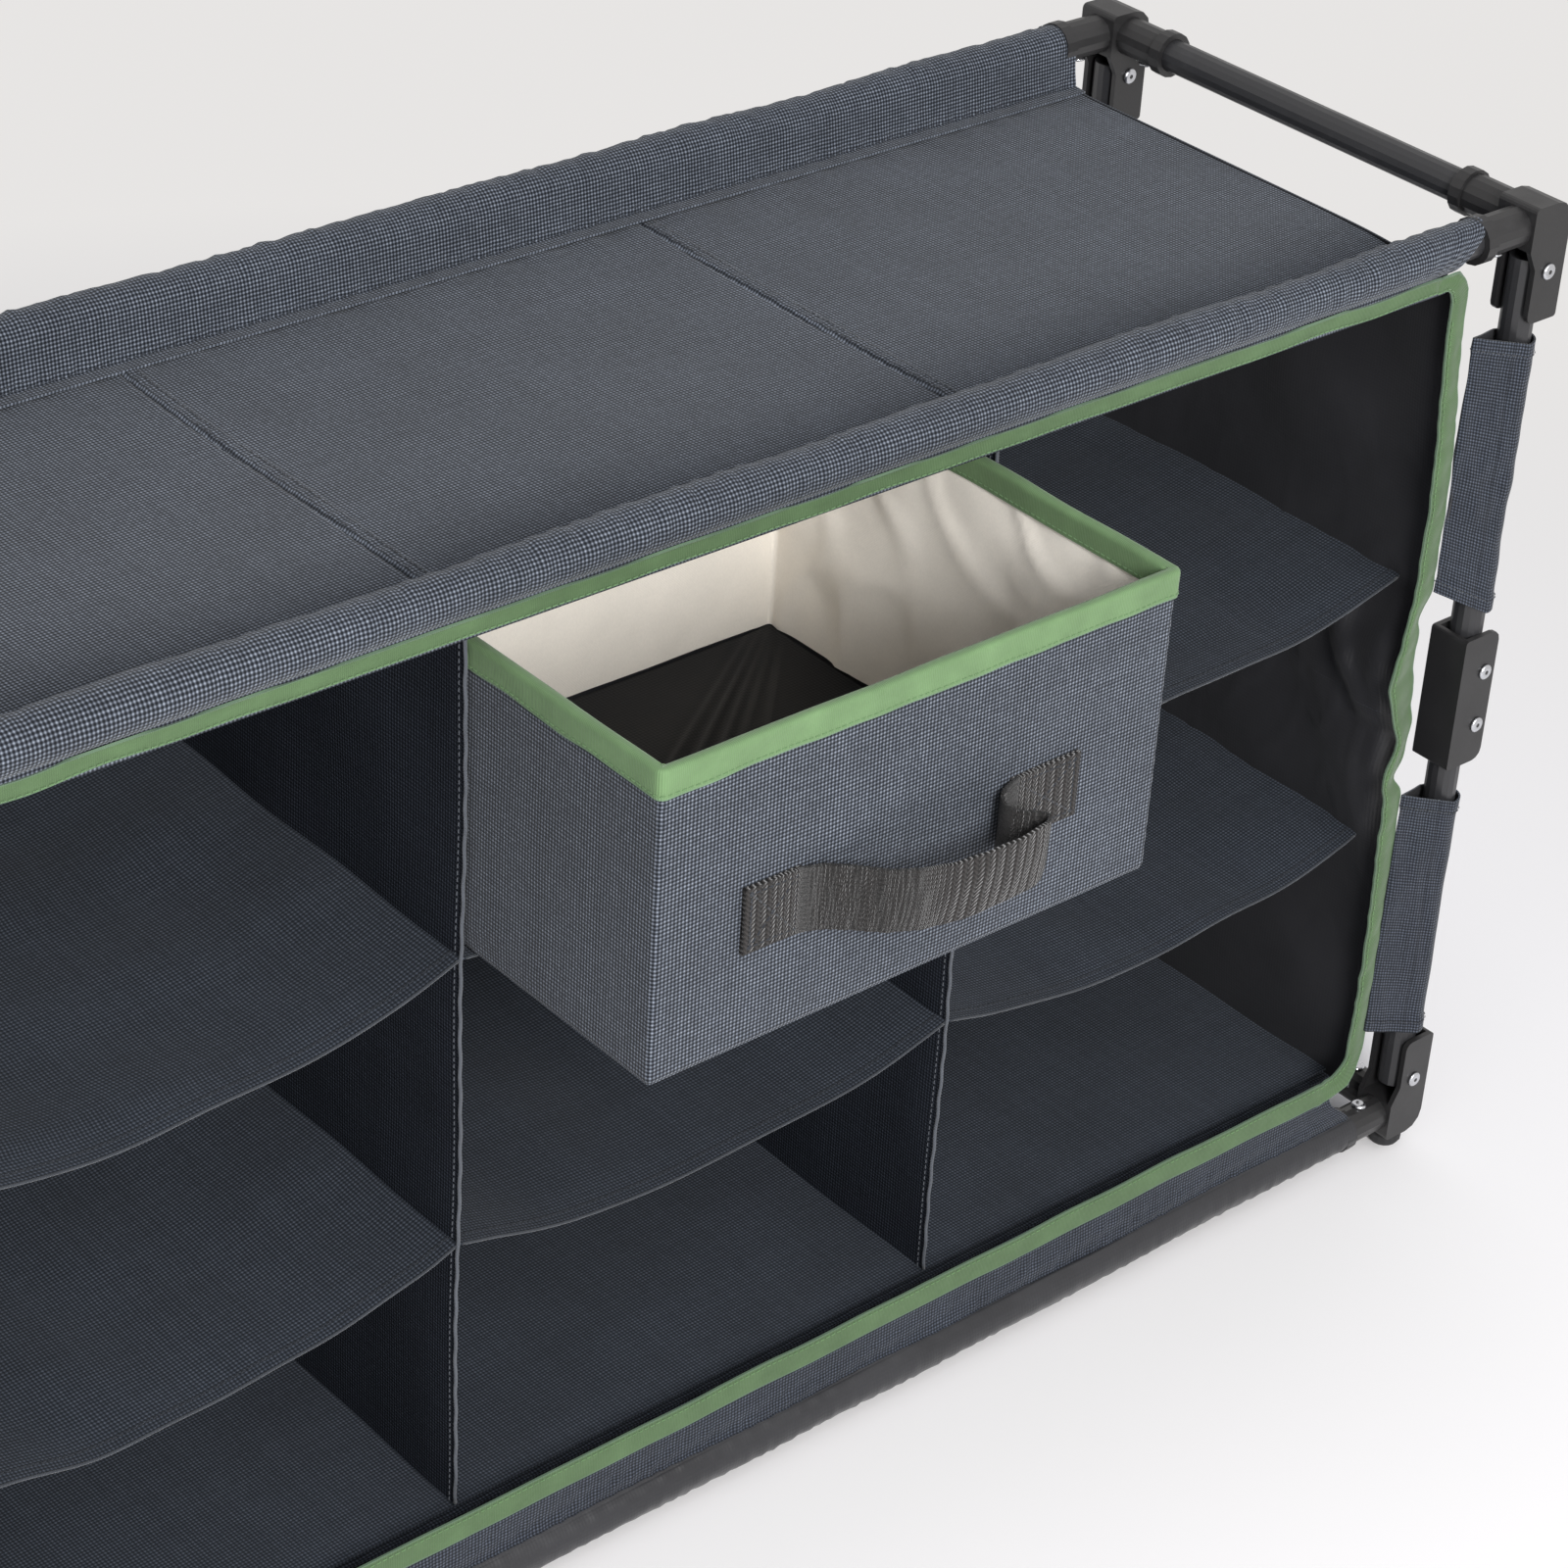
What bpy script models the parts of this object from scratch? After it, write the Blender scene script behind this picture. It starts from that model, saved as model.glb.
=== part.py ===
"""A folding camping cupboard: a textile box of three by three compartments, hung in a frame of steel tubes.

Metres, +Z up, the open front faces -Y, and the origin is on the ground below the middle of the whole object.
The four posts break at their knees, which swing inward, so that the top frame comes straight down.
"""

import math

import bmesh
import bpy
from mathutils import Matrix, Vector

# Frame tubes
TUBE_RADIUS = 0.010
TUBE_WALL = 0.0012
FRAME_DEPTH = 0.340
BASE_TUBE_Z = 0.027
ROUND_SIDES = 16

# Gaps between pieces
GAP = 0.0003
SOCKET_CLEARANCE = 0.0003
PIN_CLEARANCE = 0.0003
SLOT_CLEARANCE = 0.0006
SWING_CLEARANCE = 0.0006

# Pivot pins
PIN_RADIUS = 0.003
PIN_HEAD_RADIUS = 0.005
PIN_HEAD_HEIGHT = 0.002
PIN_SIDES = 8
CORNER_PIN_OFFSET = 0.003
KNEE_PIN_OFFSET = 0.006
KNEE_STUB_GAP = 0.0028
STUB = 0.006

# Corner brackets
FLANGE_WALL = 0.0034
BRACKET_WEB = 0.0035
EDGE_ROUNDING = 0.002
CORNER_SOLE = 0.001
CORNER_RIM = 0.058
CORNER_RIM_ROUNDING = 0.005
CORNER_FLANGE_INNER = 0.0086
CORNER_BLOCK_INNER = 0.015
CORNER_STEP_HEIGHT = 0.024
CORNER_STEP_ROUNDING = 0.006
CORNER_ROUNDING = 0.013
CORNER_HEEL_ROUNDING = 0.003
ARM_WALL = 0.0017
ARM_ROOT = 0.004
ARM_LENGTH = 0.052
ARM_SOCKET = 0.034
RING_STEP = 0.002
RING_LENGTH = 0.008

# Knee brackets
KNEE_OVERHANG = 0.0265
KNEE_FLANGE_OUTER = 0.009
KNEE_ROUNDING = 0.007

# Feet
FOOT_RADIUS = 0.011
FOOT_NECK_RADIUS = 0.008
FOOT_SOLE_RADIUS = 0.009
FOOT_BEAD_LOW = 0.003
FOOT_BEAD_HIGH = 0.0075
FOOT_SIDES = 16

# Textile box
FLOOR_RISE = 0.038
ROW_HEIGHT = 0.1795
TOP_ROW_HEIGHT = 0.1927
COLUMN_WIDTH = 0.340
SIDE_COLUMN_WIDTH = 0.345
WALL_TO_POST = 0.045
COVER_TO_TUBE = 0.0243
PANEL_THICKNESS = 0.004
FABRIC_THICKNESS = 0.0016
DIVIDER_THICKNESS = 0.0024
SHELF_THICKNESS = 0.0024
PANEL_SETBACK = 0.017
SEAM_WIDTH = 0.003
SEAM_DEPTH = 0.0015
FRONT_SAG = {"left": 0.030, "centre": 0.024, "right": 0.022}
DRAWER_SHELF_SAG = 0.008
REAR_SAG_SHARE = 0.4
SHELF_STEPS_ACROSS = 12
SHELF_STEPS_DEEP = 3

# Sleeves and front binding
SLEEVE_EASE = 0.0004
SLEEVE_THICKNESS = 0.0016
SLEEVE_ARM_GAP = 0.008
STRIP_ARM_GAP = 0.001
STRIP_FRONT = 0.005
SLEEVE_RIM_GAP = 0.0035
SLEEVE_KNEE_GAP = 0.016
BINDING_WIDTH = 0.016
BINDING_TOP_WIDTH = 0.0108
BINDING_THICKNESS = 0.0022
OPENING_INSET = 0.012
OPENING_SILL = 0.0155
OPENING_HEAD = 0.006
STRIP_TRIM = 0.0005
BINDING_OUTER_CUT = 0.022

# Drawer
DRAWER_SIDE_GAP = 0.005
DRAWER_TOP_GAP = 0.017
DRAWER_LENGTH = 0.304
DRAWER_PROUD = 0.123
DRAWER_WALL = 0.003
DRAWER_ROUNDING = 0.003
BOARD_THICKNESS = 0.003
BOARD_EASE = 0.001
RIM_HEIGHT = 0.015
RIM_SKIN = 0.0012

# Drawer handle
STRAP_WIDTH = 0.038
STRAP_THICKNESS = 0.002
STRAP_HALF_SPAN = 0.110
STRAP_LOOP_HALF = 0.071
STRAP_BOW = 0.038
STRAP_BOW_POWER = 1.2
STRAP_DROOP = 0.006
STRAP_HEIGHT = 0.075
STRAP_LOOP_STEPS = 14

# Modelling
CUT_PAST = 0.005
MERGE_DISTANCE = 0.00001
SHARP_ANGLE = math.radians(35)
EMPTY_SIZE = 0.03

# Places worked out from the sizes above
SOCKET_RADIUS = TUBE_RADIUS + SOCKET_CLEARANCE
ARM_RADIUS = SOCKET_RADIUS + ARM_WALL
RING_RADIUS = ARM_RADIUS + RING_STEP
SLOT_HALF = TUBE_RADIUS + SLOT_CLEARANCE
BRACKET_HALF = SLOT_HALF + FLANGE_WALL
CORNER_DROP = RING_RADIUS + CORNER_SOLE
CORNER_SWING = math.hypot(TUBE_RADIUS + CORNER_PIN_OFFSET, STUB)
CORNER_HEEL_SWING = math.hypot(TUBE_RADIUS - CORNER_PIN_OFFSET, STUB)
KNEE_SWING = math.hypot(TUBE_RADIUS + KNEE_PIN_OFFSET, STUB)
PIN_LIFT = ARM_RADIUS + CORNER_SWING + SWING_CLEARANCE
KNEE_PIN_SPACING = 2 * KNEE_SWING + KNEE_STUB_GAP
PIN_REACH = BRACKET_HALF + PIN_HEAD_HEIGHT
STRAP_REACH = GAP + STRAP_THICKNESS + STRAP_BOW
FRONT_Y = (DRAWER_PROUD + STRAP_REACH - FRAME_DEPTH - PIN_REACH) / 2
MIDDLE_Y = FRONT_Y + FRAME_DEPTH / 2
WALL_INNER = COLUMN_WIDTH / 2 + SIDE_COLUMN_WIDTH
WALL_X = WALL_INNER + GAP
POST_X = WALL_INNER + WALL_TO_POST
CORNER_PIN_X = POST_X + CORNER_PIN_OFFSET
KNEE_PIN_X = POST_X + KNEE_PIN_OFFSET
FLOOR_Z = BASE_TUBE_Z + FLOOR_RISE
CEILING_Z = FLOOR_Z + 2 * ROW_HEIGHT + TOP_ROW_HEIGHT
COVER_TOP_Z = CEILING_Z + PANEL_THICKNESS
TOP_TUBE_Z = COVER_TOP_Z + COVER_TO_TUBE
MIDDLE_Z = (BASE_TUBE_Z + TOP_TUBE_Z) / 2
BASE_PIN_Z = BASE_TUBE_Z + PIN_LIFT
TOP_PIN_Z = TOP_TUBE_Z - PIN_LIFT
HALF_LENGTH = MIDDLE_Z - BASE_PIN_Z - KNEE_PIN_SPACING / 2
KNEE_PIN_Z = BASE_PIN_Z + HALF_LENGTH
PANEL_FRONT_Y = FRONT_Y + PANEL_SETBACK
PANEL_REAR_Y = FRONT_Y + FRAME_DEPTH - PANEL_SETBACK - GAP - FABRIC_THICKNESS
SLEEVE_INNER = TUBE_RADIUS + SLEEVE_EASE
SLEEVE_OUTER = SLEEVE_INNER + SLEEVE_THICKNESS
SLEEVE_HALF = POST_X - ARM_LENGTH - SLEEVE_ARM_GAP
STRIP_HALF = POST_X - ARM_LENGTH - STRIP_ARM_GAP
STRIP_GRIP = math.sqrt(SLEEVE_INNER**2 - (STRIP_FRONT - FABRIC_THICKNESS) ** 2)
OPENING_HALF = WALL_INNER - OPENING_INSET
OPENING_LOW = FLOOR_Z + OPENING_SILL
OPENING_HIGH = CEILING_Z + OPENING_HEAD
BINDING_INNER_CUT = BINDING_OUTER_CUT - (2 - math.sqrt(2)) * BINDING_WIDTH
DRAWER_HALF = COLUMN_WIDTH / 2 - DRAWER_SIDE_GAP
DRAWER_FLOOR_Z = FLOOR_Z + 2 * ROW_HEIGHT + GAP
DRAWER_HEIGHT = TOP_ROW_HEIGHT - DRAWER_TOP_GAP
DRAWER_TOP_Z = DRAWER_FLOOR_Z + DRAWER_HEIGHT
DRAWER_FRONT_Y = FRONT_Y - DRAWER_PROUD
DRAWER_REAR_Y = DRAWER_FRONT_Y + DRAWER_LENGTH

AXIS_X = Vector((1, 0, 0))
AXIS_Y = Vector((0, 1, 0))
MAIN_POST = "front_right"
POSTS = {
    "front_right": (1, 1),
    "front_left": (-1, 1),
    "rear_right": (1, -1),
    "rear_left": (-1, -1),
}


# Scene, materials and placing

def clear_scene():
    for obj in list(bpy.data.objects):
        bpy.data.objects.remove(obj, do_unlink=True)


def new_collection(name):
    collection = bpy.data.collections.new(name)
    bpy.context.scene.collection.children.link(collection)
    return collection


def new_material(name, colour, roughness, metallic=0.0):
    material = bpy.data.materials.new(name)
    material.use_nodes = True
    shader = material.node_tree.nodes["Principled BSDF"]
    shader.inputs["Base Color"].default_value = (*colour, 1)
    shader.inputs["Roughness"].default_value = roughness
    shader.inputs["Metallic"].default_value = metallic
    return material


def add_piece(name, mesh, material, world=(0, 0, 0), parent=None):
    """Links a mesh as a named piece. The mesh is drawn about the world point given, and so is its origin."""
    piece = bpy.data.objects.new(name, mesh)
    PARTS.objects.link(piece)
    mesh.materials.clear()
    mesh.materials.append(material)
    set_parent(piece, Vector(world), parent)
    return piece


def add_empty(name, world, parent=None):
    empty = bpy.data.objects.new(name, None)
    empty.empty_display_size = EMPTY_SIZE
    PARTS.objects.link(empty)
    set_parent(empty, Vector(world), parent)
    return empty


def set_parent(piece, world, parent):
    """Every object keeps the world's axes, so a place under a parent is a difference of two points."""
    piece["place"] = list(world)
    if parent is not None:
        piece.parent = parent
        world = world - Vector(parent["place"])
    piece.location = world


def shade_smooth(mesh):
    mesh.shade_smooth()
    mesh.set_sharp_from_angle(angle=SHARP_ANGLE)


# Meshes

def to_mesh(bm, name):
    bmesh.ops.recalc_face_normals(bm, faces=bm.faces)
    mesh = bpy.data.meshes.new(name)
    bm.to_mesh(mesh)
    bm.free()
    return mesh


def box(name, low, high):
    low, high = Vector(low), Vector(high)
    bm = bmesh.new()
    bmesh.ops.create_cube(bm, size=1)
    place = Matrix.Translation((low + high) / 2) @ Matrix.Diagonal((*(high - low), 1))
    bmesh.ops.transform(bm, matrix=place, verts=bm.verts)
    return to_mesh(bm, name)


def rod(name, radius, start, end, sides=ROUND_SIDES, capped=True, end_radius=None):
    """A round bar from start to end, or an open skin where it has no caps."""
    start, end = Vector(start), Vector(end)
    run = end - start
    bm = bmesh.new()
    bmesh.ops.create_cone(
        bm,
        cap_ends=capped,
        segments=sides,
        radius1=radius,
        radius2=radius if end_radius is None else end_radius,
        depth=run.length,
    )
    turn = run.to_track_quat("Z", "Y").to_matrix().to_4x4()
    bmesh.ops.transform(bm, matrix=Matrix.Translation((start + end) / 2) @ turn, verts=bm.verts)
    mesh = bpy.data.meshes.new(name)
    bm.to_mesh(mesh)
    bm.free()
    return mesh


def rounded_outline(corners, steps=3):
    """Points of an outline whose corners are (x, z, radius), each radius as an arc."""
    points = []
    for index, (x, z, radius) in enumerate(corners):
        corner = Vector((x, z))
        to_last = (Vector(corners[index - 1][:2]) - corner).normalized()
        to_next = (Vector(corners[(index + 1) % len(corners)][:2]) - corner).normalized()
        if radius == 0:
            points.append(corner)
            continue
        half = to_last.angle(to_next) / 2
        centre = corner + (to_last + to_next).normalized() * radius / math.sin(half)
        first = corner + to_last * radius / math.tan(half) - centre
        last = corner + to_next * radius / math.tan(half) - centre
        start = math.atan2(first.y, first.x)
        sweep = (math.atan2(last.y, last.x) - start + math.pi) % math.tau - math.pi
        for step in range(steps + 1):
            angle = start + sweep * step / steps
            points.append(centre + radius * Vector((math.cos(angle), math.sin(angle))))
    return points


def plate(name, outline, half_width):
    """A flat outline in X and Z, as thick along Y as twice half_width."""
    curve = bpy.data.curves.new(name, "CURVE")
    curve.dimensions = "2D"
    curve.fill_mode = "BOTH"
    curve.extrude = half_width
    spline = curve.splines.new("POLY")
    spline.points.add(len(outline) - 1)
    for point, (x, z) in zip(spline.points, outline):
        point.co = (x, z, 0, 1)
    spline.use_cyclic_u = True
    drawn = bpy.data.objects.new(name, curve)
    CUTTERS.objects.link(drawn)
    bpy.context.view_layer.update()
    flat = bpy.data.meshes.new_from_object(drawn.evaluated_get(bpy.context.evaluated_depsgraph_get()))
    bpy.data.objects.remove(drawn)
    bm = bmesh.new()
    bm.from_mesh(flat)
    bpy.data.meshes.remove(flat)
    bmesh.ops.remove_doubles(bm, verts=bm.verts, dist=MERGE_DISTANCE)
    bmesh.ops.rotate(bm, verts=bm.verts, matrix=Matrix.Rotation(math.pi / 2, 3, "X"))
    return to_mesh(bm, name)


def joined(name, body, additions=(), cuts=()):
    """One mesh: the body less the cuts and with the additions, in that order of Boolean modifiers."""
    work = bpy.data.objects.new(name, body)
    CUTTERS.objects.link(work)
    helpers = []
    steps = [("DIFFERENCE", mesh) for mesh in cuts] + [("UNION", mesh) for mesh in additions]
    for operation, mesh in steps:
        helper = bpy.data.objects.new(mesh.name, mesh)
        CUTTERS.objects.link(helper)
        helpers.append(helper)
        modifier = work.modifiers.new(mesh.name, "BOOLEAN")
        modifier.operation = operation
        modifier.solver = "EXACT"
        modifier.object = helper
    return baked(work, helpers)


def baked(work, helpers=()):
    """The mesh of an object with its modifiers applied. The object and its helpers are then removed."""
    bpy.context.view_layer.update()
    graph = bpy.context.evaluated_depsgraph_get()
    mesh = bpy.data.meshes.new_from_object(work.evaluated_get(graph))
    mesh.name = work.name
    for obj in (work, *helpers):
        bpy.data.objects.remove(obj)
    return mesh


def thickened(name, skin, thickness, offset):
    """A skin made solid. Offset 1 adds the thickness on the side its faces look to, and -1 on the other."""
    work = bpy.data.objects.new(name, skin)
    CUTTERS.objects.link(work)
    solidify = work.modifiers.new("wall", "SOLIDIFY")
    solidify.thickness = thickness
    solidify.offset = offset
    solidify.use_even_offset = True
    return baked(work)


def hollow_tube(name, start, end, radius=TUBE_RADIUS, wall=TUBE_WALL):
    mesh = thickened(name, rod(name, radius, start, end, capped=False), wall, -1)
    shade_smooth(mesh)
    return mesh


def mirrored(mesh, side_x=1, side_y=1, side_z=1):
    """A copy of a mesh, mirrored about its own origin in each direction whose side is -1."""
    copy = mesh.copy()
    copy.transform(Matrix.Diagonal((side_x, side_y, side_z, 1)))
    if side_x * side_y * side_z < 0:
        copy.flip_normals()
    return copy


def post_y(side_y):
    """The plane of the front posts for side 1, and of the rear ones for side -1."""
    return MIDDLE_Y - side_y * FRAME_DEPTH / 2


def pivot_pin(name, x, z):
    """The riveted pin through both flanges of a bracket: the meshes of a shaft and two tapered heads."""
    shaft = rod(name, PIN_RADIUS, (x, -BRACKET_HALF, z), (x, BRACKET_HALF, z), PIN_SIDES)
    heads = []
    for side in (-1, 1):
        seat = (x, side * (BRACKET_HALF - GAP), z)
        tip = (x, side * PIN_REACH, z)
        heads.append(
            rod(f"{name}_head", PIN_HEAD_RADIUS, seat, tip, PIN_SIDES, end_radius=PIN_RADIUS)
        )
    return [shaft, *heads]


# Corner brackets, drawn about the point where a post's axis meets the long tube's axis

def corner_bracket_mesh():
    """A block with two arms that the rails plug into, and a channel that the post swings in."""
    web_inner = CORNER_PIN_OFFSET + CORNER_HEEL_SWING + SWING_CLEARANCE
    outer = web_inner + BRACKET_WEB
    outline = rounded_outline(
        [
            (-CORNER_BLOCK_INNER, -CORNER_DROP, CORNER_HEEL_ROUNDING),
            (outer, -CORNER_DROP, CORNER_ROUNDING),
            (outer, CORNER_RIM, EDGE_ROUNDING),
            (-CORNER_FLANGE_INNER, CORNER_RIM, CORNER_RIM_ROUNDING),
            (-CORNER_FLANGE_INNER, CORNER_STEP_HEIGHT, CORNER_STEP_ROUNDING),
            (-CORNER_BLOCK_INNER, ARM_RADIUS, 0),
        ]
    )
    body = plate("corner_body", outline, BRACKET_HALF)
    slot = box(
        "slot",
        (-CORNER_BLOCK_INNER - CUT_PAST, -SLOT_HALF, ARM_RADIUS),
        (web_inner, SLOT_HALF, CORNER_RIM + CUT_PAST),
    )
    arms = []
    sockets = []
    for direction in (-AXIS_X, AXIS_Y):
        tip = direction * ARM_LENGTH
        arms.append(rod("arm", ARM_RADIUS, direction * ARM_ROOT, tip))
        arms.append(rod("ring", RING_RADIUS, tip - direction * RING_LENGTH, tip))
        socket_end = tip - direction * ARM_SOCKET
        sockets.append(rod("socket", SOCKET_RADIUS, socket_end, tip + direction * CUT_PAST))
    pin = pivot_pin("pin", CORNER_PIN_OFFSET, PIN_LIFT)
    shaped = joined("corner_shaped", body, additions=arms, cuts=[slot])
    mesh = joined("corner_bracket", shaped, additions=pin, cuts=sockets)
    shade_smooth(mesh)
    return mesh


def foot_mesh():
    """A turned foot, drawn from the ground up to the underside of its bracket."""
    top = BASE_TUBE_Z - CORNER_DROP - GAP
    profile = [
        (0, top),
        (FOOT_NECK_RADIUS, top),
        (FOOT_RADIUS, FOOT_BEAD_HIGH),
        (FOOT_RADIUS, FOOT_BEAD_LOW),
        (FOOT_SOLE_RADIUS, 0),
        (0, 0),
    ]
    mesh = bpy.data.meshes.new("foot")
    edges = [(index, index + 1) for index in range(len(profile) - 1)]
    mesh.from_pydata([(x, 0, z) for x, z in profile], edges, [])
    work = bpy.data.objects.new("foot", mesh)
    CUTTERS.objects.link(work)
    screw = work.modifiers.new("turned", "SCREW")
    screw.steps = FOOT_SIDES
    screw.render_steps = FOOT_SIDES
    screw.use_merge_vertices = True
    screw.merge_threshold = MERGE_DISTANCE
    turned = baked(work)
    shade_smooth(turned)
    return turned


def add_corners():
    bracket = corner_bracket_mesh()
    foot = foot_mesh()
    for post, (side_x, side_y) in POSTS.items():
        x, y = side_x * POST_X, post_y(side_y)
        base_mesh = mirrored(bracket, side_x, side_y)
        top_mesh = mirrored(bracket, side_x, side_y, -1)
        add_piece(f"base_corner_{post}", base_mesh, PLASTIC, (x, y, BASE_TUBE_Z), BASE)
        add_piece(f"top_corner_{post}", top_mesh, PLASTIC, (x, y, TOP_TUBE_Z), TOP)
        add_piece(f"foot_{post}", foot.copy(), RUBBER, (x, y, 0), BASE)


# Rails: the long tubes and the short side tubes

def add_rails():
    inset = ARM_LENGTH - ARM_SOCKET + GAP
    half = POST_X - inset
    for level, z, parent in (("base", BASE_TUBE_Z, BASE), ("top", TOP_TUBE_Z, TOP)):
        for name, side_y in (("front", 1), ("rear", -1)):
            mesh = hollow_tube("long_tube", (-half, 0, 0), (half, 0, 0))
            add_piece(f"{level}_tube_{name}", mesh, STEEL, (0, post_y(side_y), z), parent)
        side_half = FRAME_DEPTH / 2 - inset
        for name, side_x in (("left", -1), ("right", 1)):
            mesh = hollow_tube("side_tube", (0, -side_half, 0), (0, side_half, 0))
            middle = (side_x * POST_X, MIDDLE_Y, z)
            add_piece(f"{level}_tube_{name}", mesh, STEEL, middle, parent)


# Posts, drawn for the front right one about the pin that each piece turns on

def half_post_mesh():
    """The lower half, drawn about its corner pin. The knee pin's hole lies a little further out."""
    axis_x = -CORNER_PIN_OFFSET
    tube = hollow_tube("half_post", (axis_x, 0, -STUB), (axis_x, 0, HALF_LENGTH + STUB))
    holes = []
    knee = (KNEE_PIN_OFFSET - CORNER_PIN_OFFSET, HALF_LENGTH)
    for x, z in ((0, 0), knee):
        start = (x, -TUBE_RADIUS - CUT_PAST, z)
        end = (x, TUBE_RADIUS + CUT_PAST, z)
        holes.append(rod("pin_hole", PIN_RADIUS + PIN_CLEARANCE, start, end, PIN_SIDES))
    mesh = joined("half_post", tube, cuts=holes)
    shade_smooth(mesh)
    return mesh


def knee_bracket_mesh():
    """A channel open to the outside, drawn about its lower pin."""
    web_inner = -KNEE_SWING - GAP
    web_outer = web_inner - BRACKET_WEB
    low = -KNEE_OVERHANG
    high = KNEE_PIN_SPACING + KNEE_OVERHANG
    outline = rounded_outline(
        [
            (web_outer, low, EDGE_ROUNDING),
            (KNEE_FLANGE_OUTER, low, KNEE_ROUNDING),
            (KNEE_FLANGE_OUTER, high, KNEE_ROUNDING),
            (web_outer, high, EDGE_ROUNDING),
        ]
    )
    body = plate("knee_body", outline, BRACKET_HALF)
    slot = box(
        "slot",
        (web_inner, -SLOT_HALF, low - CUT_PAST),
        (KNEE_FLANGE_OUTER + CUT_PAST, SLOT_HALF, high + CUT_PAST),
    )
    pins = pivot_pin("pin", 0, 0) + pivot_pin("pin", 0, KNEE_PIN_SPACING)
    mesh = joined("knee_bracket", body, additions=pins, cuts=[slot])
    shade_smooth(mesh)
    return mesh


def post_sleeve_mesh():
    """A lower half's sleeve, drawn about its corner pin, with the flap that joins it to the side wall."""
    axis_x = -CORNER_PIN_OFFSET
    low = CORNER_RIM - PIN_LIFT + SLEEVE_RIM_GAP
    high = HALF_LENGTH - KNEE_OVERHANG - SLEEVE_KNEE_GAP
    ends = ((axis_x, 0, low), (axis_x, 0, high))
    sleeve = hollow_tube("sleeve", *ends, SLEEVE_OUTER, SLEEVE_THICKNESS)
    wall_side = WALL_X + FABRIC_THICKNESS + GAP - POST_X + axis_x
    flap = box(
        "flap",
        (wall_side, -STRIP_FRONT, low),
        (axis_x - STRIP_GRIP, -STRIP_FRONT + FABRIC_THICKNESS, high),
    )
    mesh = joined("post_sleeve", sleeve, additions=[flap])
    shade_smooth(mesh)
    return mesh


def add_posts():
    """Adds the posts with their sleeves and knees, and returns the empty on each one's upper knee pin."""
    half = half_post_mesh()
    knee = knee_bracket_mesh()
    sleeve = post_sleeve_mesh()
    upper_knees = {}
    for post, (side_x, side_y) in POSTS.items():
        y = post_y(side_y)
        corner_pin = (side_x * CORNER_PIN_X, y, BASE_PIN_Z)
        knee_pin = (side_x * KNEE_PIN_X, y, KNEE_PIN_Z)
        upper_pin = (side_x * KNEE_PIN_X, y, KNEE_PIN_Z + KNEE_PIN_SPACING)
        top_pin = (side_x * CORNER_PIN_X, y, TOP_PIN_Z)
        sides = (side_x, side_y)
        upside_down = (side_x, side_y, -1)
        lower = add_piece(f"lower_post_{post}", mirrored(half, *sides), STEEL, corner_pin, BASE)
        add_piece(f"lower_sleeve_{post}", mirrored(sleeve, *sides), WEAVE, corner_pin, lower)
        bracket = add_piece(f"knee_bracket_{post}", mirrored(knee, *sides), PLASTIC, knee_pin, lower)
        joint = add_empty(f"upper_knee_{post}", upper_pin, bracket)
        add_piece(f"upper_post_{post}", mirrored(half, *upside_down), STEEL, top_pin, joint)
        add_piece(f"upper_sleeve_{post}", mirrored(sleeve, *upside_down), WEAVE, top_pin, joint)
        upper_knees[post] = joint
    return upper_knees


# Textile box

def add_panels():
    floor = box(
        "floor",
        (-WALL_INNER, PANEL_FRONT_Y, FLOOR_Z - PANEL_THICKNESS),
        (WALL_INNER, PANEL_REAR_Y, FLOOR_Z),
    )
    add_piece("floor_panel", floor, CLOTH, parent=BASE)
    cover = box(
        "cover", (-WALL_INNER, PANEL_FRONT_Y, CEILING_Z), (WALL_INNER, PANEL_REAR_Y, COVER_TOP_Z)
    )
    seams = []
    for side in (-1, 1):
        middle = side * COLUMN_WIDTH / 2
        low = (middle - SEAM_WIDTH / 2, PANEL_FRONT_Y - CUT_PAST, COVER_TOP_Z - SEAM_DEPTH)
        high = (middle + SEAM_WIDTH / 2, PANEL_REAR_Y + CUT_PAST, COVER_TOP_Z + CUT_PAST)
        seams.append(box("seam", low, high))
    add_piece("top_cover", joined("cover", cover, cuts=seams), CLOTH, parent=TOP)


def add_shell():
    """Back panel and both side walls, one sewn piece with a square corner at each rear seam."""
    rear = PANEL_REAR_Y + GAP
    front = FRONT_Y - STRIP_FRONT + FABRIC_THICKNESS + GAP
    path = [(WALL_X, front), (WALL_X, rear), (-WALL_X, rear), (-WALL_X, front)]
    low = FLOOR_Z - PANEL_THICKNESS
    bm = bmesh.new()
    rows = [[bm.verts.new((x, y, z)) for x, y in path] for z in (low, COVER_TOP_Z)]
    for index in range(len(path) - 1):
        lower, upper = rows
        bm.faces.new((lower[index], lower[index + 1], upper[index + 1], upper[index]))
    skin = bpy.data.meshes.new("shell")
    bm.to_mesh(skin)
    bm.free()
    add_piece("fabric_shell", thickened("shell", skin, FABRIC_THICKNESS, 1), CLOTH, parent=BASE)


def add_dividers():
    for name, side in (("left", -1), ("right", 1)):
        middle = side * COLUMN_WIDTH / 2
        mesh = box(
            "divider",
            (middle - DIVIDER_THICKNESS / 2, PANEL_FRONT_Y, FLOOR_Z + GAP),
            (middle + DIVIDER_THICKNESS / 2, PANEL_REAR_Y, CEILING_Z - GAP),
        )
        add_piece(f"divider_{name}", mesh, CLOTH, parent=BASE)


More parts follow.
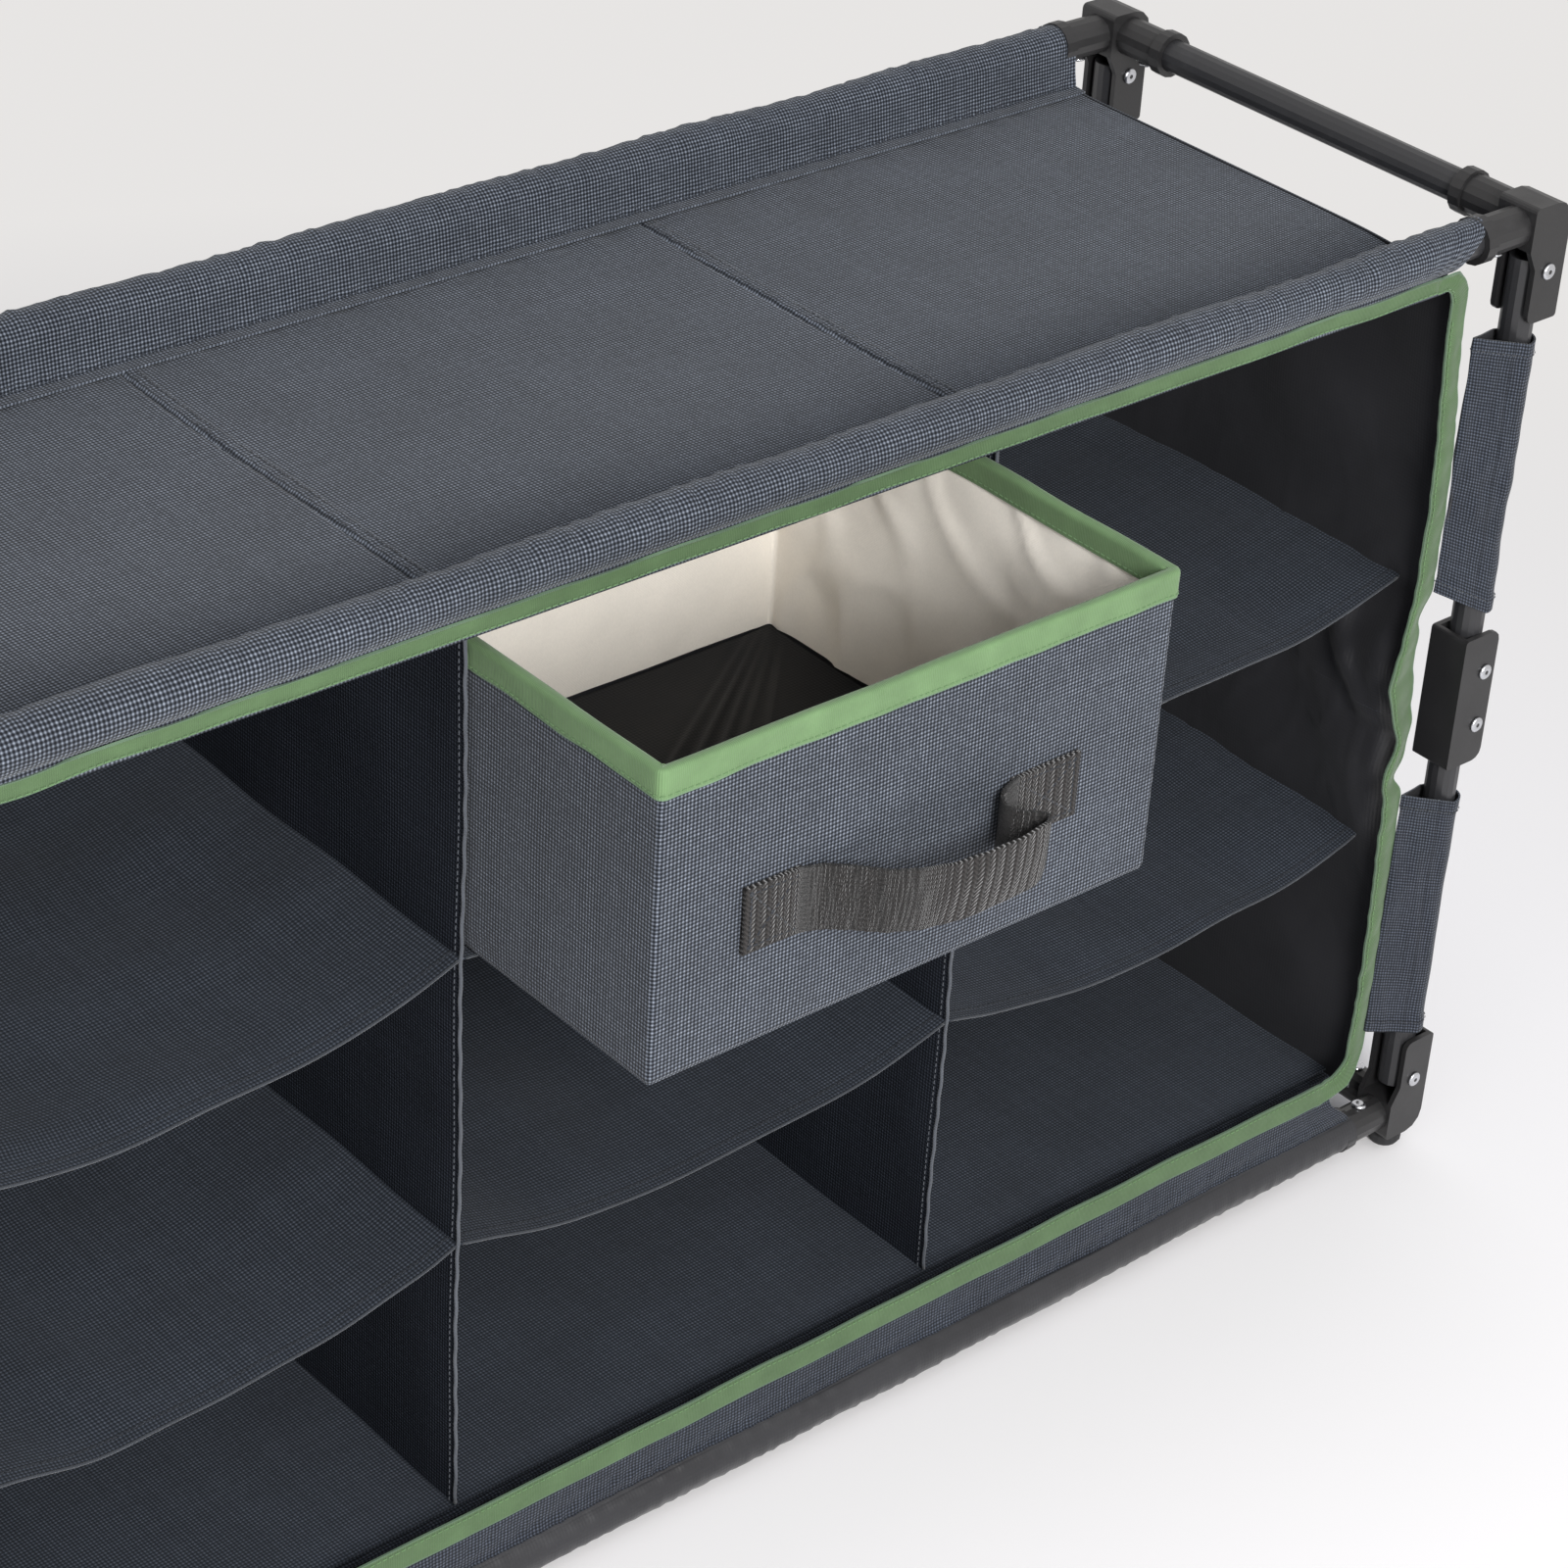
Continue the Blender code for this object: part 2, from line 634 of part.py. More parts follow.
def shelf_mesh(left, right, z, front_sag):
    """A shelf that hangs between two walls as a shallow trough, deepest at its front edge.

    Its ends slope, so they keep clear of the walls by the share of its thickness that leans outward.
    """
    lean = SHELF_THICKNESS * 4 * front_sag / (right - left)
    left, right = left + lean, right - lean
    bm = bmesh.new()
    rows = []
    for j in range(SHELF_STEPS_DEEP + 1):
        back = j / SHELF_STEPS_DEEP
        y = PANEL_FRONT_Y + (PANEL_REAR_Y - PANEL_FRONT_Y) * back
        sag = front_sag * (1 - (1 - REAR_SAG_SHARE) * back)
        row = []
        for i in range(SHELF_STEPS_ACROSS + 1):
            along = i / SHELF_STEPS_ACROSS
            drop = sag * (1 - (2 * along - 1) ** 2)
            row.append(bm.verts.new((left + (right - left) * along, y, z - drop)))
        rows.append(row)
    for front_row, back_row in zip(rows, rows[1:]):
        for i in range(SHELF_STEPS_ACROSS):
            bm.faces.new((front_row[i], front_row[i + 1], back_row[i + 1], back_row[i]))
    skin = bpy.data.meshes.new("shelf")
    bm.to_mesh(skin)
    bm.free()
    return thickened("shelf", skin, SHELF_THICKNESS, -1)


def add_shelves():
    inner = COLUMN_WIDTH / 2 - DIVIDER_THICKNESS / 2 - GAP
    outer = COLUMN_WIDTH / 2 + DIVIDER_THICKNESS / 2 + GAP
    columns = {
        "left": (-WALL_INNER, -outer),
        "centre": (-inner, inner),
        "right": (outer, WALL_INNER),
    }
    for column, (left, right) in columns.items():
        for level, row in (("lower", 1), ("upper", 2)):
            under_drawer = column == "centre" and level == "upper"
            sag = DRAWER_SHELF_SAG if under_drawer else FRONT_SAG[column]
            mesh = shelf_mesh(left, right, FLOOR_Z + row * ROW_HEIGHT, sag)
            shade_smooth(mesh)
            add_piece(f"{level}_shelf_{column}", mesh, CLOTH, parent=BASE)


def long_sleeve_mesh(tube_z, lip_low, lip_high, strip_top):
    """A long tube's sleeve, with the lip that meets a panel and the strip to a lip or the opening."""
    ends = ((-SLEEVE_HALF, 0, 0), (SLEEVE_HALF, 0, 0))
    sleeve = hollow_tube("sleeve", *ends, SLEEVE_OUTER, SLEEVE_THICKNESS)
    if lip_low > tube_z:
        low, high = STRIP_GRIP, strip_top - tube_z
    else:
        low, high = lip_low - tube_z, -STRIP_GRIP
    strip_rear = -STRIP_FRONT + FABRIC_THICKNESS
    strip = box("strip", (-STRIP_HALF, -STRIP_FRONT, low), (STRIP_HALF, strip_rear, high))
    lip = box(
        "lip",
        (-WALL_INNER, -STRIP_FRONT, lip_low - tube_z),
        (WALL_INNER, PANEL_SETBACK - GAP, lip_high - tube_z),
    )
    mesh = joined("long_sleeve", sleeve, additions=[strip, lip])
    shade_smooth(mesh)
    return mesh


def add_long_sleeves():
    floor_under = FLOOR_Z - PANEL_THICKNESS - GAP
    cover_over = COVER_TOP_Z + GAP
    levels = {
        "base": (BASE_TUBE_Z, floor_under - FABRIC_THICKNESS, floor_under, BASE),
        "top": (TOP_TUBE_Z, cover_over, cover_over + FABRIC_THICKNESS, TOP),
    }
    for level, (tube_z, lip_low, lip_high, parent) in levels.items():
        for name, side_y in (("front", 1), ("rear", -1)):
            strip_top = OPENING_LOW - STRIP_TRIM if name == "front" else lip_high
            mesh = long_sleeve_mesh(tube_z, lip_low, lip_high, strip_top)
            place = (0, post_y(side_y), tube_z)
            add_piece(f"{level}_sleeve_{name}", mirrored(mesh, 1, side_y), WEAVE, place, parent)


def cut_cornered(half_width, low, high, cut):
    """The (x, z) corners of a rectangle whose own corners are cut off, in order round it."""
    return [
        (half_width, low + cut),
        (half_width, high - cut),
        (half_width - cut, high),
        (cut - half_width, high),
        (-half_width, high - cut),
        (-half_width, low + cut),
        (cut - half_width, low),
        (half_width - cut, low),
    ]


def add_front_binding():
    """A band round the opening, narrower at the top, where it ends under the round of the sleeve.

    It cuts across the corners, which keeps it clear of the brackets' arms.
    """
    y = FRONT_Y - STRIP_FRONT - GAP
    inner = cut_cornered(OPENING_HALF, OPENING_LOW, OPENING_HIGH, BINDING_INNER_CUT)
    outer = cut_cornered(
        OPENING_HALF + BINDING_WIDTH,
        OPENING_LOW - BINDING_WIDTH,
        OPENING_HIGH + BINDING_TOP_WIDTH,
        BINDING_OUTER_CUT,
    )
    bm = bmesh.new()
    inner, outer = [[bm.verts.new((x, y, z)) for x, z in ring] for ring in (inner, outer)]
    for index in range(len(inner)):
        bm.faces.new((inner[index - 1], outer[index - 1], outer[index], inner[index]))
    skin = bpy.data.meshes.new("binding")
    bm.to_mesh(skin)
    bm.free()
    add_piece("front_binding", thickened("binding", skin, BINDING_THICKNESS, 1), BINDING, parent=BASE)


# Drawer

def add_drawer():
    slide = add_empty("drawer_slide", (0, DRAWER_FRONT_Y, DRAWER_FLOOR_Z), BASE)
    add_piece("drawer_box", drawer_box_mesh(), WEAVE, parent=slide)
    inner = DRAWER_HALF - DRAWER_WALL - BOARD_EASE
    board_low = DRAWER_FLOOR_Z + DRAWER_WALL + GAP
    board = box(
        "board",
        (-inner, DRAWER_FRONT_Y + DRAWER_WALL + BOARD_EASE, board_low),
        (inner, DRAWER_REAR_Y - DRAWER_WALL - BOARD_EASE, board_low + BOARD_THICKNESS),
    )
    add_piece("drawer_base_board", board, CLOTH, parent=slide)
    add_piece("drawer_binding", drawer_binding_mesh(), BINDING, parent=slide)
    add_piece("drawer_handle", handle_mesh(), WEBBING, parent=slide)


def drawer_box_mesh():
    """An open box: a cube without its top, its upright edges rounded, thickened inward."""
    bm = bmesh.new()
    bmesh.ops.create_cube(bm, size=1)
    size = Vector((2 * DRAWER_HALF, DRAWER_LENGTH, DRAWER_HEIGHT))
    centre = Vector((0, (DRAWER_FRONT_Y + DRAWER_REAR_Y) / 2, (DRAWER_FLOOR_Z + DRAWER_TOP_Z) / 2))
    place = Matrix.Translation(centre) @ Matrix.Diagonal((*size, 1))
    bmesh.ops.transform(bm, matrix=place, verts=bm.verts)
    upright = [edge for edge in bm.edges if edge.verts[0].co.xy == edge.verts[1].co.xy]
    bmesh.ops.bevel(bm, geom=upright, offset=DRAWER_ROUNDING, segments=2, affect="EDGES", profile=0.5)
    bm.normal_update()
    top = max(bm.faces, key=lambda face: face.normal.z)
    bmesh.ops.delete(bm, geom=[top], context="FACES_ONLY")
    skin = bpy.data.meshes.new("drawer")
    bm.to_mesh(skin)
    bm.free()
    return thickened("drawer", skin, DRAWER_WALL, -1)


def drawer_binding_mesh():
    """Tape folded over the rim: an outer skin and a top lip, cut from one block."""
    out = GAP + RIM_SKIN
    block = box(
        "rim",
        (-DRAWER_HALF - out, DRAWER_FRONT_Y - out, DRAWER_TOP_Z - RIM_HEIGHT),
        (DRAWER_HALF + out, DRAWER_REAR_Y + out, DRAWER_TOP_Z + out),
    )
    seat = box(
        "rim_seat",
        (-DRAWER_HALF - GAP, DRAWER_FRONT_Y - GAP, DRAWER_TOP_Z - RIM_HEIGHT - CUT_PAST),
        (DRAWER_HALF + GAP, DRAWER_REAR_Y + GAP, DRAWER_TOP_Z + GAP),
    )
    inner = DRAWER_HALF - DRAWER_WALL
    mouth = box(
        "rim_mouth",
        (-inner, DRAWER_FRONT_Y + DRAWER_WALL, DRAWER_TOP_Z - RIM_HEIGHT),
        (inner, DRAWER_REAR_Y - DRAWER_WALL, DRAWER_TOP_Z + CUT_PAST),
    )
    return joined("drawer_binding", block, cuts=[seat, mouth])


def handle_mesh():
    """Webbing with a flat patch at each end and a loop between them that bows out and droops a little."""
    stations = [-STRAP_HALF_SPAN]
    for step in range(STRAP_LOOP_STEPS + 1):
        stations.append(STRAP_LOOP_HALF * (2 * step / STRAP_LOOP_STEPS - 1))
    stations.append(STRAP_HALF_SPAN)
    middle_z = DRAWER_FLOOR_Z + STRAP_HEIGHT
    bm = bmesh.new()
    edges = []
    for x in stations:
        bulge = math.cos(math.pi * min(abs(x) / STRAP_LOOP_HALF, 1) / 2) ** STRAP_BOW_POWER
        y = DRAWER_FRONT_Y - GAP - STRAP_BOW * bulge
        z = middle_z - STRAP_DROOP * bulge
        edges.append([bm.verts.new((x, y, z + side * STRAP_WIDTH / 2)) for side in (-1, 1)])
    for (low, high), (next_low, next_high) in zip(edges, edges[1:]):
        bm.faces.new((low, next_low, next_high, high))
    skin = bpy.data.meshes.new("handle")
    bm.to_mesh(skin)
    bm.free()
    mesh = thickened("handle", skin, STRAP_THICKNESS, 1)
    shade_smooth(mesh)
    return mesh


clear_scene()
PARTS = new_collection("camping_cupboard")
CUTTERS = new_collection("cutters")
STEEL = new_material("black_steel", (0.02, 0.02, 0.022), 0.4, 0.3)
PLASTIC = new_material("black_plastic", (0.018, 0.018, 0.02), 0.5)
RUBBER = new_material("black_rubber", (0.015, 0.015, 0.016), 0.8)
WEAVE = new_material("two_tone_weave", (0.10, 0.12, 0.16), 0.9)
CLOTH = new_material("dark_cloth", (0.055, 0.065, 0.085), 0.85)
BINDING = new_material("green_binding", (0.16, 0.28, 0.12), 0.8)
WEBBING = new_material("dark_webbing", (0.025, 0.022, 0.02), 0.85)
BASE = add_empty("base_frame", (0, MIDDLE_Y, 0))
UPPER_KNEES = add_posts()
TOP = add_empty("top_frame", (CORNER_PIN_X, FRONT_Y, TOP_PIN_Z), UPPER_KNEES[MAIN_POST])
add_corners()
add_rails()
add_panels()
add_shell()
add_dividers()
add_shelves()
add_long_sleeves()
add_front_binding()
add_drawer()
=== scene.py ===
"""The looks of the camping cupboard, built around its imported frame. Metres, +Z up, the CAD's own frame."""

import math

import bpy
import numpy as np
from mathutils import Matrix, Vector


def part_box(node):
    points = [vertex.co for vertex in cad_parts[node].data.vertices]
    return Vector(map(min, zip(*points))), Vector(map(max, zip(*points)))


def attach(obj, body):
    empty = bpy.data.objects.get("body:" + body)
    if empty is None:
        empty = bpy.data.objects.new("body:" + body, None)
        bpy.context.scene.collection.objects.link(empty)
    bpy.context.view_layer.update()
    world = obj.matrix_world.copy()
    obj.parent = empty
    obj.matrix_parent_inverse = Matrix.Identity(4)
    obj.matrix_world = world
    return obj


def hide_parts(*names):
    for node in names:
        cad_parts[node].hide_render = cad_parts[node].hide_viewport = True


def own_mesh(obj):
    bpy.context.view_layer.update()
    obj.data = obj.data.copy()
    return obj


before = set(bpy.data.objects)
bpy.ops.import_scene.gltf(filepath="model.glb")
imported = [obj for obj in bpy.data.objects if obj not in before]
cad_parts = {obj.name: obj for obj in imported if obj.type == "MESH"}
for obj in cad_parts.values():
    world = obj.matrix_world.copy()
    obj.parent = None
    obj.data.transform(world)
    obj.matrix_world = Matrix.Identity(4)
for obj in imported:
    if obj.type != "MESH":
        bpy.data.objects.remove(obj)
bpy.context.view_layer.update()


def middle(node, axis):
    return sum(getattr(corner, axis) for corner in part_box(node)) / 2


TAU = 2 * math.pi
POSTS = {"front_left": (-1, -1), "front_right": (1, -1), "rear_left": (-1, 1), "rear_right": (1, 1)}
SIDES = (("left", -1), ("right", 1))

# Places, read from the frame where a node has them
FRONT_Y, REAR_Y = middle("base_tube_front", "y"), middle("base_tube_rear", "y")
BASE_TUBE_Z, TOP_TUBE_Z = middle("base_tube_front", "z"), middle("top_tube_front", "z")
MIDDLE_Z = (BASE_TUBE_Z + TOP_TUBE_Z) / 2
POST_X, DIVIDER_X = middle("base_tube_right", "x"), middle("divider_right", "x")
FLOOR_LOW, FLOOR_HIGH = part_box("floor_panel")
COVER_LOW, COVER_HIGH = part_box("top_cover")
SHELL_LOW, SHELL_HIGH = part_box("fabric_shell")
DRAWER_LOW, DRAWER_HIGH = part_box("drawer_box")
DIVIDER_LOW, DIVIDER_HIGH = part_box("divider_right")
SLEEVE_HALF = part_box("top_sleeve_front")[1].x
SHELL_THICKNESS = 0.0016
WALL_X, BACK_Y = SHELL_HIGH.x - SHELL_THICKNESS, SHELL_HIGH.y - SHELL_THICKNESS
WALL_FRONT = SHELL_LOW.y + 0.0012
PANEL_FRONT, PANEL_REAR = FLOOR_LOW.y, FLOOR_HIGH.y
CLOTH_FRONT, CLOTH_REAR = PANEL_FRONT + 0.0004, PANEL_REAR - 0.0002
CLOTH_SIDE = WALL_X - 0.0006
CORNER_PIN_X, CORNER_PIN_RISE = POST_X + 0.003, 0.026918
KNEE_PIN_X, KNEE_PIN_HALF_SPACING = POST_X + 0.006, 0.018488
OPENING_HALF = 0.503
OPENING_LOW, OPENING_HIGH = FLOOR_HIGH.z + 0.0155, COVER_LOW.z + 0.006
TAPE_Y = FRONT_Y - 0.0062

# Camera, light and background
CAMERA_PLACE = (-1.1707, -1.4187, 1.5721)
CAMERA_ANGLES = (42.0053, 31.8949, 3.625)
CAMERA_LENS = 93.97
SKY = (0.93, 0.95, 1.0)
SKY_STRENGTH = 0.60
BACKGROUND = (0.80, 0.785, 0.775)

# Cloth
CLOTH = 0.0012
PITCH = 0.0022
ROLL_RADIUS = 0.0122
TAPE_WIDTH = 0.016
TAPE_THICKNESS = 0.0013
TAPE_STITCH_IN = 0.0022
CORD_SIDES = 8
WING_START = 0.011
HALF_GAP = 0.00003

# Folding
FOLDED_CEILING = 0.1490
FLAT_KEEP = 0.05
STRIP_KEEP = 0.08
SQUASH_UP = dict(
    axis=(0, 0, 1),
    anchor=(0, 0, FLOOR_HIGH.z),
    keep=(FOLDED_CEILING - FLOOR_HIGH.z) / (COVER_LOW.z - FLOOR_HIGH.z),
)


# Materials


class Nodes:
    """Short calls that build a node tree."""

    def __init__(self, tree):
        self.tree = tree

    def plug(self, socket, value):
        if isinstance(value, bpy.types.NodeSocket):
            self.tree.links.new(value, socket)
        elif value is not None:
            socket.default_value = value

    def node(self, kind, *inputs, output=0, **settings):
        node = self.tree.nodes.new("ShaderNode" + kind)
        for key, value in settings.items():
            setattr(node, key, value)
        for index, value in enumerate(inputs):
            self.plug(node.inputs[index], value)
        return node.outputs[output]

    def math(self, operation, *inputs):
        return self.node("Math", *inputs, operation=operation)

    def background_rays(self):
        """1 for the rays that see the plain background: camera, glossy and transmission."""
        rays = self.tree.nodes.new("ShaderNodeLightPath").outputs
        mirrored = self.math("MAXIMUM", rays["Is Glossy Ray"], rays["Is Transmission Ray"])
        return self.math("MAXIMUM", rays["Is Camera Ray"], mirrored)


class Finish(Nodes):
    """A material: fixed values sit on its shader's own sockets, and nodes carry what varies."""

    def __init__(self, name, **fixed):
        self.material = bpy.data.materials.new(name)
        self.material.use_nodes = True
        super().__init__(self.material.node_tree)
        self.shader = self.tree.nodes["Principled BSDF"]
        for socket, value in fixed.items():
            self.shader.inputs[socket.replace("_", " ")].default_value = value

    def uv(self):
        return self.node("TexCoord", output=2)

    def place(self):
        return self.node("TexCoord", output=3)

    def split(self, vector):
        node = self.tree.nodes.new("ShaderNodeSeparateXYZ")
        self.plug(node.inputs[0], vector)
        return node.outputs

    def noise(self, vector, scale, detail=2.0, roughness=0.5):
        return self.node("TexNoise", vector, None, scale, detail, roughness)

    def stretched(self, vector, *factors):
        return self.node("VectorMath", vector, factors, operation="MULTIPLY")

    def grid(self, vector, pitch, shape="COSINE"):
        """u and v counted in pitches, and a wave of each."""
        u, v, _ = self.split(self.stretched(vector, 1 / pitch, 1 / pitch, 0))
        return (u, v), [self.math(shape, self.math("MULTIPLY", part, TAU)) for part in (u, v)]

    def mix(self, factor, low, high, blend="MIX"):
        node = self.tree.nodes.new("ShaderNodeMix")
        node.data_type, node.blend_type = "RGBA", blend
        for index, value in ((0, factor), (6, low), (7, high)):
            self.plug(node.inputs[index], (*value[:3], 1) if isinstance(value, tuple) else value)
        return node.outputs[2]

    def span(self, value, low, high, new_low, new_high):
        return self.node("MapRange", value, low, high, new_low, new_high)

    def shade(self, colour, value, low, high):
        """A colour times a grey that runs from low to high with the value."""
        grey = self.span(value, 0.25, 0.75, low, high)
        return self.mix(1.0, colour, self.node("CombineColor", grey, grey, grey), "MULTIPLY")

    def bump(self, height, distance, strength=1.0, normal=None):
        node = self.tree.nodes.new("ShaderNodeBump")
        sockets = dict(Strength=strength, Distance=distance, Height=height, Normal=normal)
        for socket, value in sockets.items():
            self.plug(node.inputs[socket], value)
        return node.outputs[0]

    def done(self, colour, roughness, normal):
        for socket, value in (("Base Color", colour), ("Roughness", roughness), ("Normal", normal)):
            self.plug(self.shader.inputs[socket], value)
        return self.material


def weave_finish(name, shadow, link, dot, sheen=0.12):
    """Two-tone basket weave: pale rounded dots in a square grid on dark yarn with painted shade in the gaps,
    no two quite alike.
    """
    f = Finish(name, Sheen_Weight=sheen, Sheen_Roughness=0.5, Specular_IOR_Level=0.5 * sheen + 0.15)
    uv = f.uv()
    drift = f.stretched(f.noise(uv, 140.0, 1.0), 0.0005, 0.0005, 0)
    parts, waves = f.grid(f.node("VectorMath", uv, drift, operation="ADD"), PITCH)
    dots = f.math("MULTIPLY_ADD", f.math("ADD", *waves), 0.25, 0.5)
    cells = [f.math("FLOOR", f.math("ADD", part, 0.5)) for part in parts]
    each = f.node("TexWhiteNoise", f.node("CombineXYZ", *cells, 0.0), noise_dimensions="2D")
    yarns = [f.node("TexWhiteNoise", None, part, noise_dimensions="1D") for part in cells]
    yarn = f.math("MULTIPLY", f.math("ADD", *yarns), 0.5)
    # The shadow tone in the gaps between the dots is painted shade over the dark yarn.
    under = f.mix(f.math("POWER", dots, 1.4), shadow, link)
    crown = f.math("MULTIPLY", f.math("POWER", dots, 3.0), f.span(each, 0.0, 1.0, 0.62, 1.0))
    colour = f.shade(f.mix(crown, under, dot), yarn, 0.93, 1.07)
    colour = f.shade(colour, f.noise(uv, 14.0, 3.0), 0.88, 1.12)
    rough = f.span(dots, 0.0, 1.0, 0.92, 0.74)
    return f.done(colour, rough, f.bump(f.noise(uv, 1500.0, 2.0), 0.00006, 0.5, f.bump(dots, 0.00035, 0.8)))


def coated_finish(name, tint, crease=1.0, gloss=0.45):
    """The cloth's coated reverse: near black with a soft, uneven gloss."""
    f = Finish(name, Specular_IOR_Level=gloss, Sheen_Weight=0.05)
    uv = f.uv()
    broad, fine = f.noise(uv, 9.0, 4.0, 0.55), f.noise(uv, 650.0, 2.0)
    _, waves = f.grid(uv, PITCH)
    colour = f.shade(f.shade((*tint, 1), broad, 0.75, 1.25), fine, 0.9, 1.1)
    normal = f.bump(f.math("ADD", *waves), 0.00004, 0.4, f.bump(fine, 0.00008, 0.5))
    return f.done(colour, f.span(broad, 0.3, 0.7, 0.30, 0.46), f.bump(broad, 0.004 * crease, 0.5, normal))


def tape_finish(name, colour, width):
    """Grosgrain tape: fine ribs across it with painted light on their crests and painted shade in their
    troughs, and a paler woven edge.
    """
    f = Finish(name, Sheen_Weight=0.2, Sheen_Roughness=0.4, Specular_IOR_Level=0.3)
    uv = f.uv()
    u, v, _ = f.split(uv)
    ribs = f.math("SINE", f.math("MULTIPLY", u, TAU / 0.0011))
    rib_shade = f.span(ribs, -1.0, 1.0, 0.25, 0.75)
    edge = f.math("ABSOLUTE", f.math("SUBTRACT", v, width / 2))
    selvedge = f.span(edge, width / 2 - 0.0011, width / 2 - 0.0004, 0.0, 1.0)
    blotch = f.noise(uv, 45.0, 3.0)
    # The ribs' crests are painted paler and their troughs darker: painted light and shade.
    tone = f.shade(f.shade((*colour, 1), blotch, 0.86, 1.14), rib_shade, 0.93, 1.07)
    tone = f.mix(f.math("MULTIPLY", selvedge, 0.35), tone, (0.14, 0.20, 0.175))
    rough = f.span(f.noise(uv, 300.0), 0.3, 0.7, 0.7, 0.9)
    return f.done(tone, rough, f.bump(ribs, 0.00012, 0.6, f.bump(blotch, 0.0006, 0.4)))


def webbing_finish(name):
    """Dark webbing: slanted strokes in columns across it, turning back at each column, with painted shade in
    the grooves and painted light on the strokes.
    """
    f = Finish(name, Sheen_Weight=0.2, Sheen_Roughness=0.35, Specular_IOR_Level=0.3)
    column = 0.0034
    uv = f.uv()
    u, v, _ = f.split(uv)
    slant = f.math("MULTIPLY_ADD", f.math("PINGPONG", u, column), 0.9, v)
    strokes = f.math("SINE", f.math("MULTIPLY", slant, TAU / 0.0027))
    columns = f.math("COSINE", f.math("MULTIPLY", u, TAU / column))
    relief_and_shade = f.math("MULTIPLY_ADD", strokes, 0.55, f.math("MULTIPLY", columns, -0.45))
    fibre = f.noise(f.stretched(uv, 1.0, 3.0, 0), 900.0, 2.0)
    # Painted shade in the grooves between columns and strokes, painted light on the strokes' crests.
    tone = f.mix(f.span(relief_and_shade, -1.0, 1.0, 0.0, 1.0), (0.0025, 0.0023, 0.0022), (0.036, 0.032, 0.0305))
    normal = f.bump(fibre, 0.0001, 0.5, f.bump(relief_and_shade, 0.0005, 1.0))
    return f.done(f.shade(tone, fibre, 0.75, 1.25), f.span(fibre, 0.3, 0.7, 0.62, 0.82), normal)


def lining_finish(name):
    """Cream non-woven lining: soft fibres and a faint grid of bond points."""
    f = Finish(name, Sheen_Weight=0.25, Sheen_Roughness=0.6, Specular_IOR_Level=0.2)
    uv = f.uv()
    fibre = f.noise(f.stretched(uv, 1.0, 0.6, 0), 800.0, 4.0, 0.6)
    cloud = f.noise(uv, 30.0, 4.0, 0.6)
    bonds = f.math("MULTIPLY", *f.grid(uv, 0.0016, "SINE")[1])
    tone = f.shade(f.shade((0.93, 0.87, 0.78, 1), cloud, 0.95, 1.03), fibre, 0.96, 1.03)
    normal = f.bump(bonds, 0.00006, 0.5, f.bump(fibre, 0.0002, 0.5))
    return f.done(tone, f.span(fibre, 0.3, 0.7, 0.85, 0.97), f.bump(cloud, 0.0012, 0.35, normal))


def moulded_finish(name, colour, rough, grain, wear):
    """Paint or moulded plastic: fine grain, slightly uneven gloss and paler rubbed patches."""
    f = Finish(name, Specular_IOR_Level=0.5)
    place = f.place()
    fine, broad = f.noise(place, grain, 2.0), f.noise(place, 35.0, 4.0, 0.6)
    rub = f.span(broad, 0.60, 0.78, 0.0, wear)
    tone = f.mix(rub, f.shade((*colour, 1), fine, 0.85, 1.15), tuple(part * 2.4 for part in colour))
    return f.done(tone, f.span(broad, 0.3, 0.7, rough - 0.07, rough + 0.09), f.bump(fine, 0.00012, 0.35))


def metal_finish(name):
    """Plated rivets: bright, with fine scratches."""
    f = Finish(name, Metallic=1.0)
    scratch = f.noise(f.stretched(f.place(), 1.0, 1.0, 6.0), 900.0, 3.0)
    tone = f.shade((0.62, 0.63, 0.66, 1), scratch, 0.85, 1.1)
    return f.done(tone, f.span(scratch, 0.3, 0.7, 0.18, 0.34), f.bump(scratch, 0.00005, 0.4))


def yarn_finish(name, colour, twist=0.0008):
    """Thread or piping: a fine slanted twist, with painted shade in its grooves and painted light on its
    ridges.
    """
    f = Finish(name, Sheen_Weight=0.2, Specular_IOR_Level=0.3)
    u, v, _ = f.split(f.uv())
    twist_and_shade = f.math("SINE", f.math("MULTIPLY", f.math("ADD", u, v), TAU / twist))
    # The twist's grooves are painted darker and its ridges paler: painted shade and light.
    tone = f.shade((*colour, 1), f.span(twist_and_shade, -1.0, 1.0, 0.25, 0.75), 0.75, 1.15)
    return f.done(f.shade(tone, f.noise(f.uv(), 60.0, 2.0), 0.85, 1.15), 0.75, f.bump(twist_and_shade, 0.0001, 0.6))


def floor_finish(name):
    """Pale floor. Far behind the object it passes into the plain background that rays see."""
    f = Finish(name, Specular_IOR_Level=0.2)
    cloud = f.noise(f.place(), 1.2, 3.0)
    colour = f.shade((0.90, 0.88, 0.875, 1), cloud, 0.99, 1.01)
    f.done(colour, f.span(cloud, 0.3, 0.7, 0.85, 0.95), f.bump(f.noise(f.place(), 300.0), 0.0001, 0.2))
    away = f.node("VectorMath", f.place(), operation="LENGTH", output=1)
    far = f.math("MULTIPLY", f.background_rays(), f.span(away, 0.8, 1.7, 0.0, 1.0))
    mixed = f.node("MixShader", far, f.shader.outputs[0], f.node("Emission", (*BACKGROUND, 1), 1.0))
    f.plug(f.tree.nodes["Material Output"].inputs["Surface"], mixed)
    return f.material


WEAVE = weave_finish("weave", (0.0036, 0.0048, 0.0075), (0.027, 0.034, 0.048), (0.245, 0.272, 0.322))
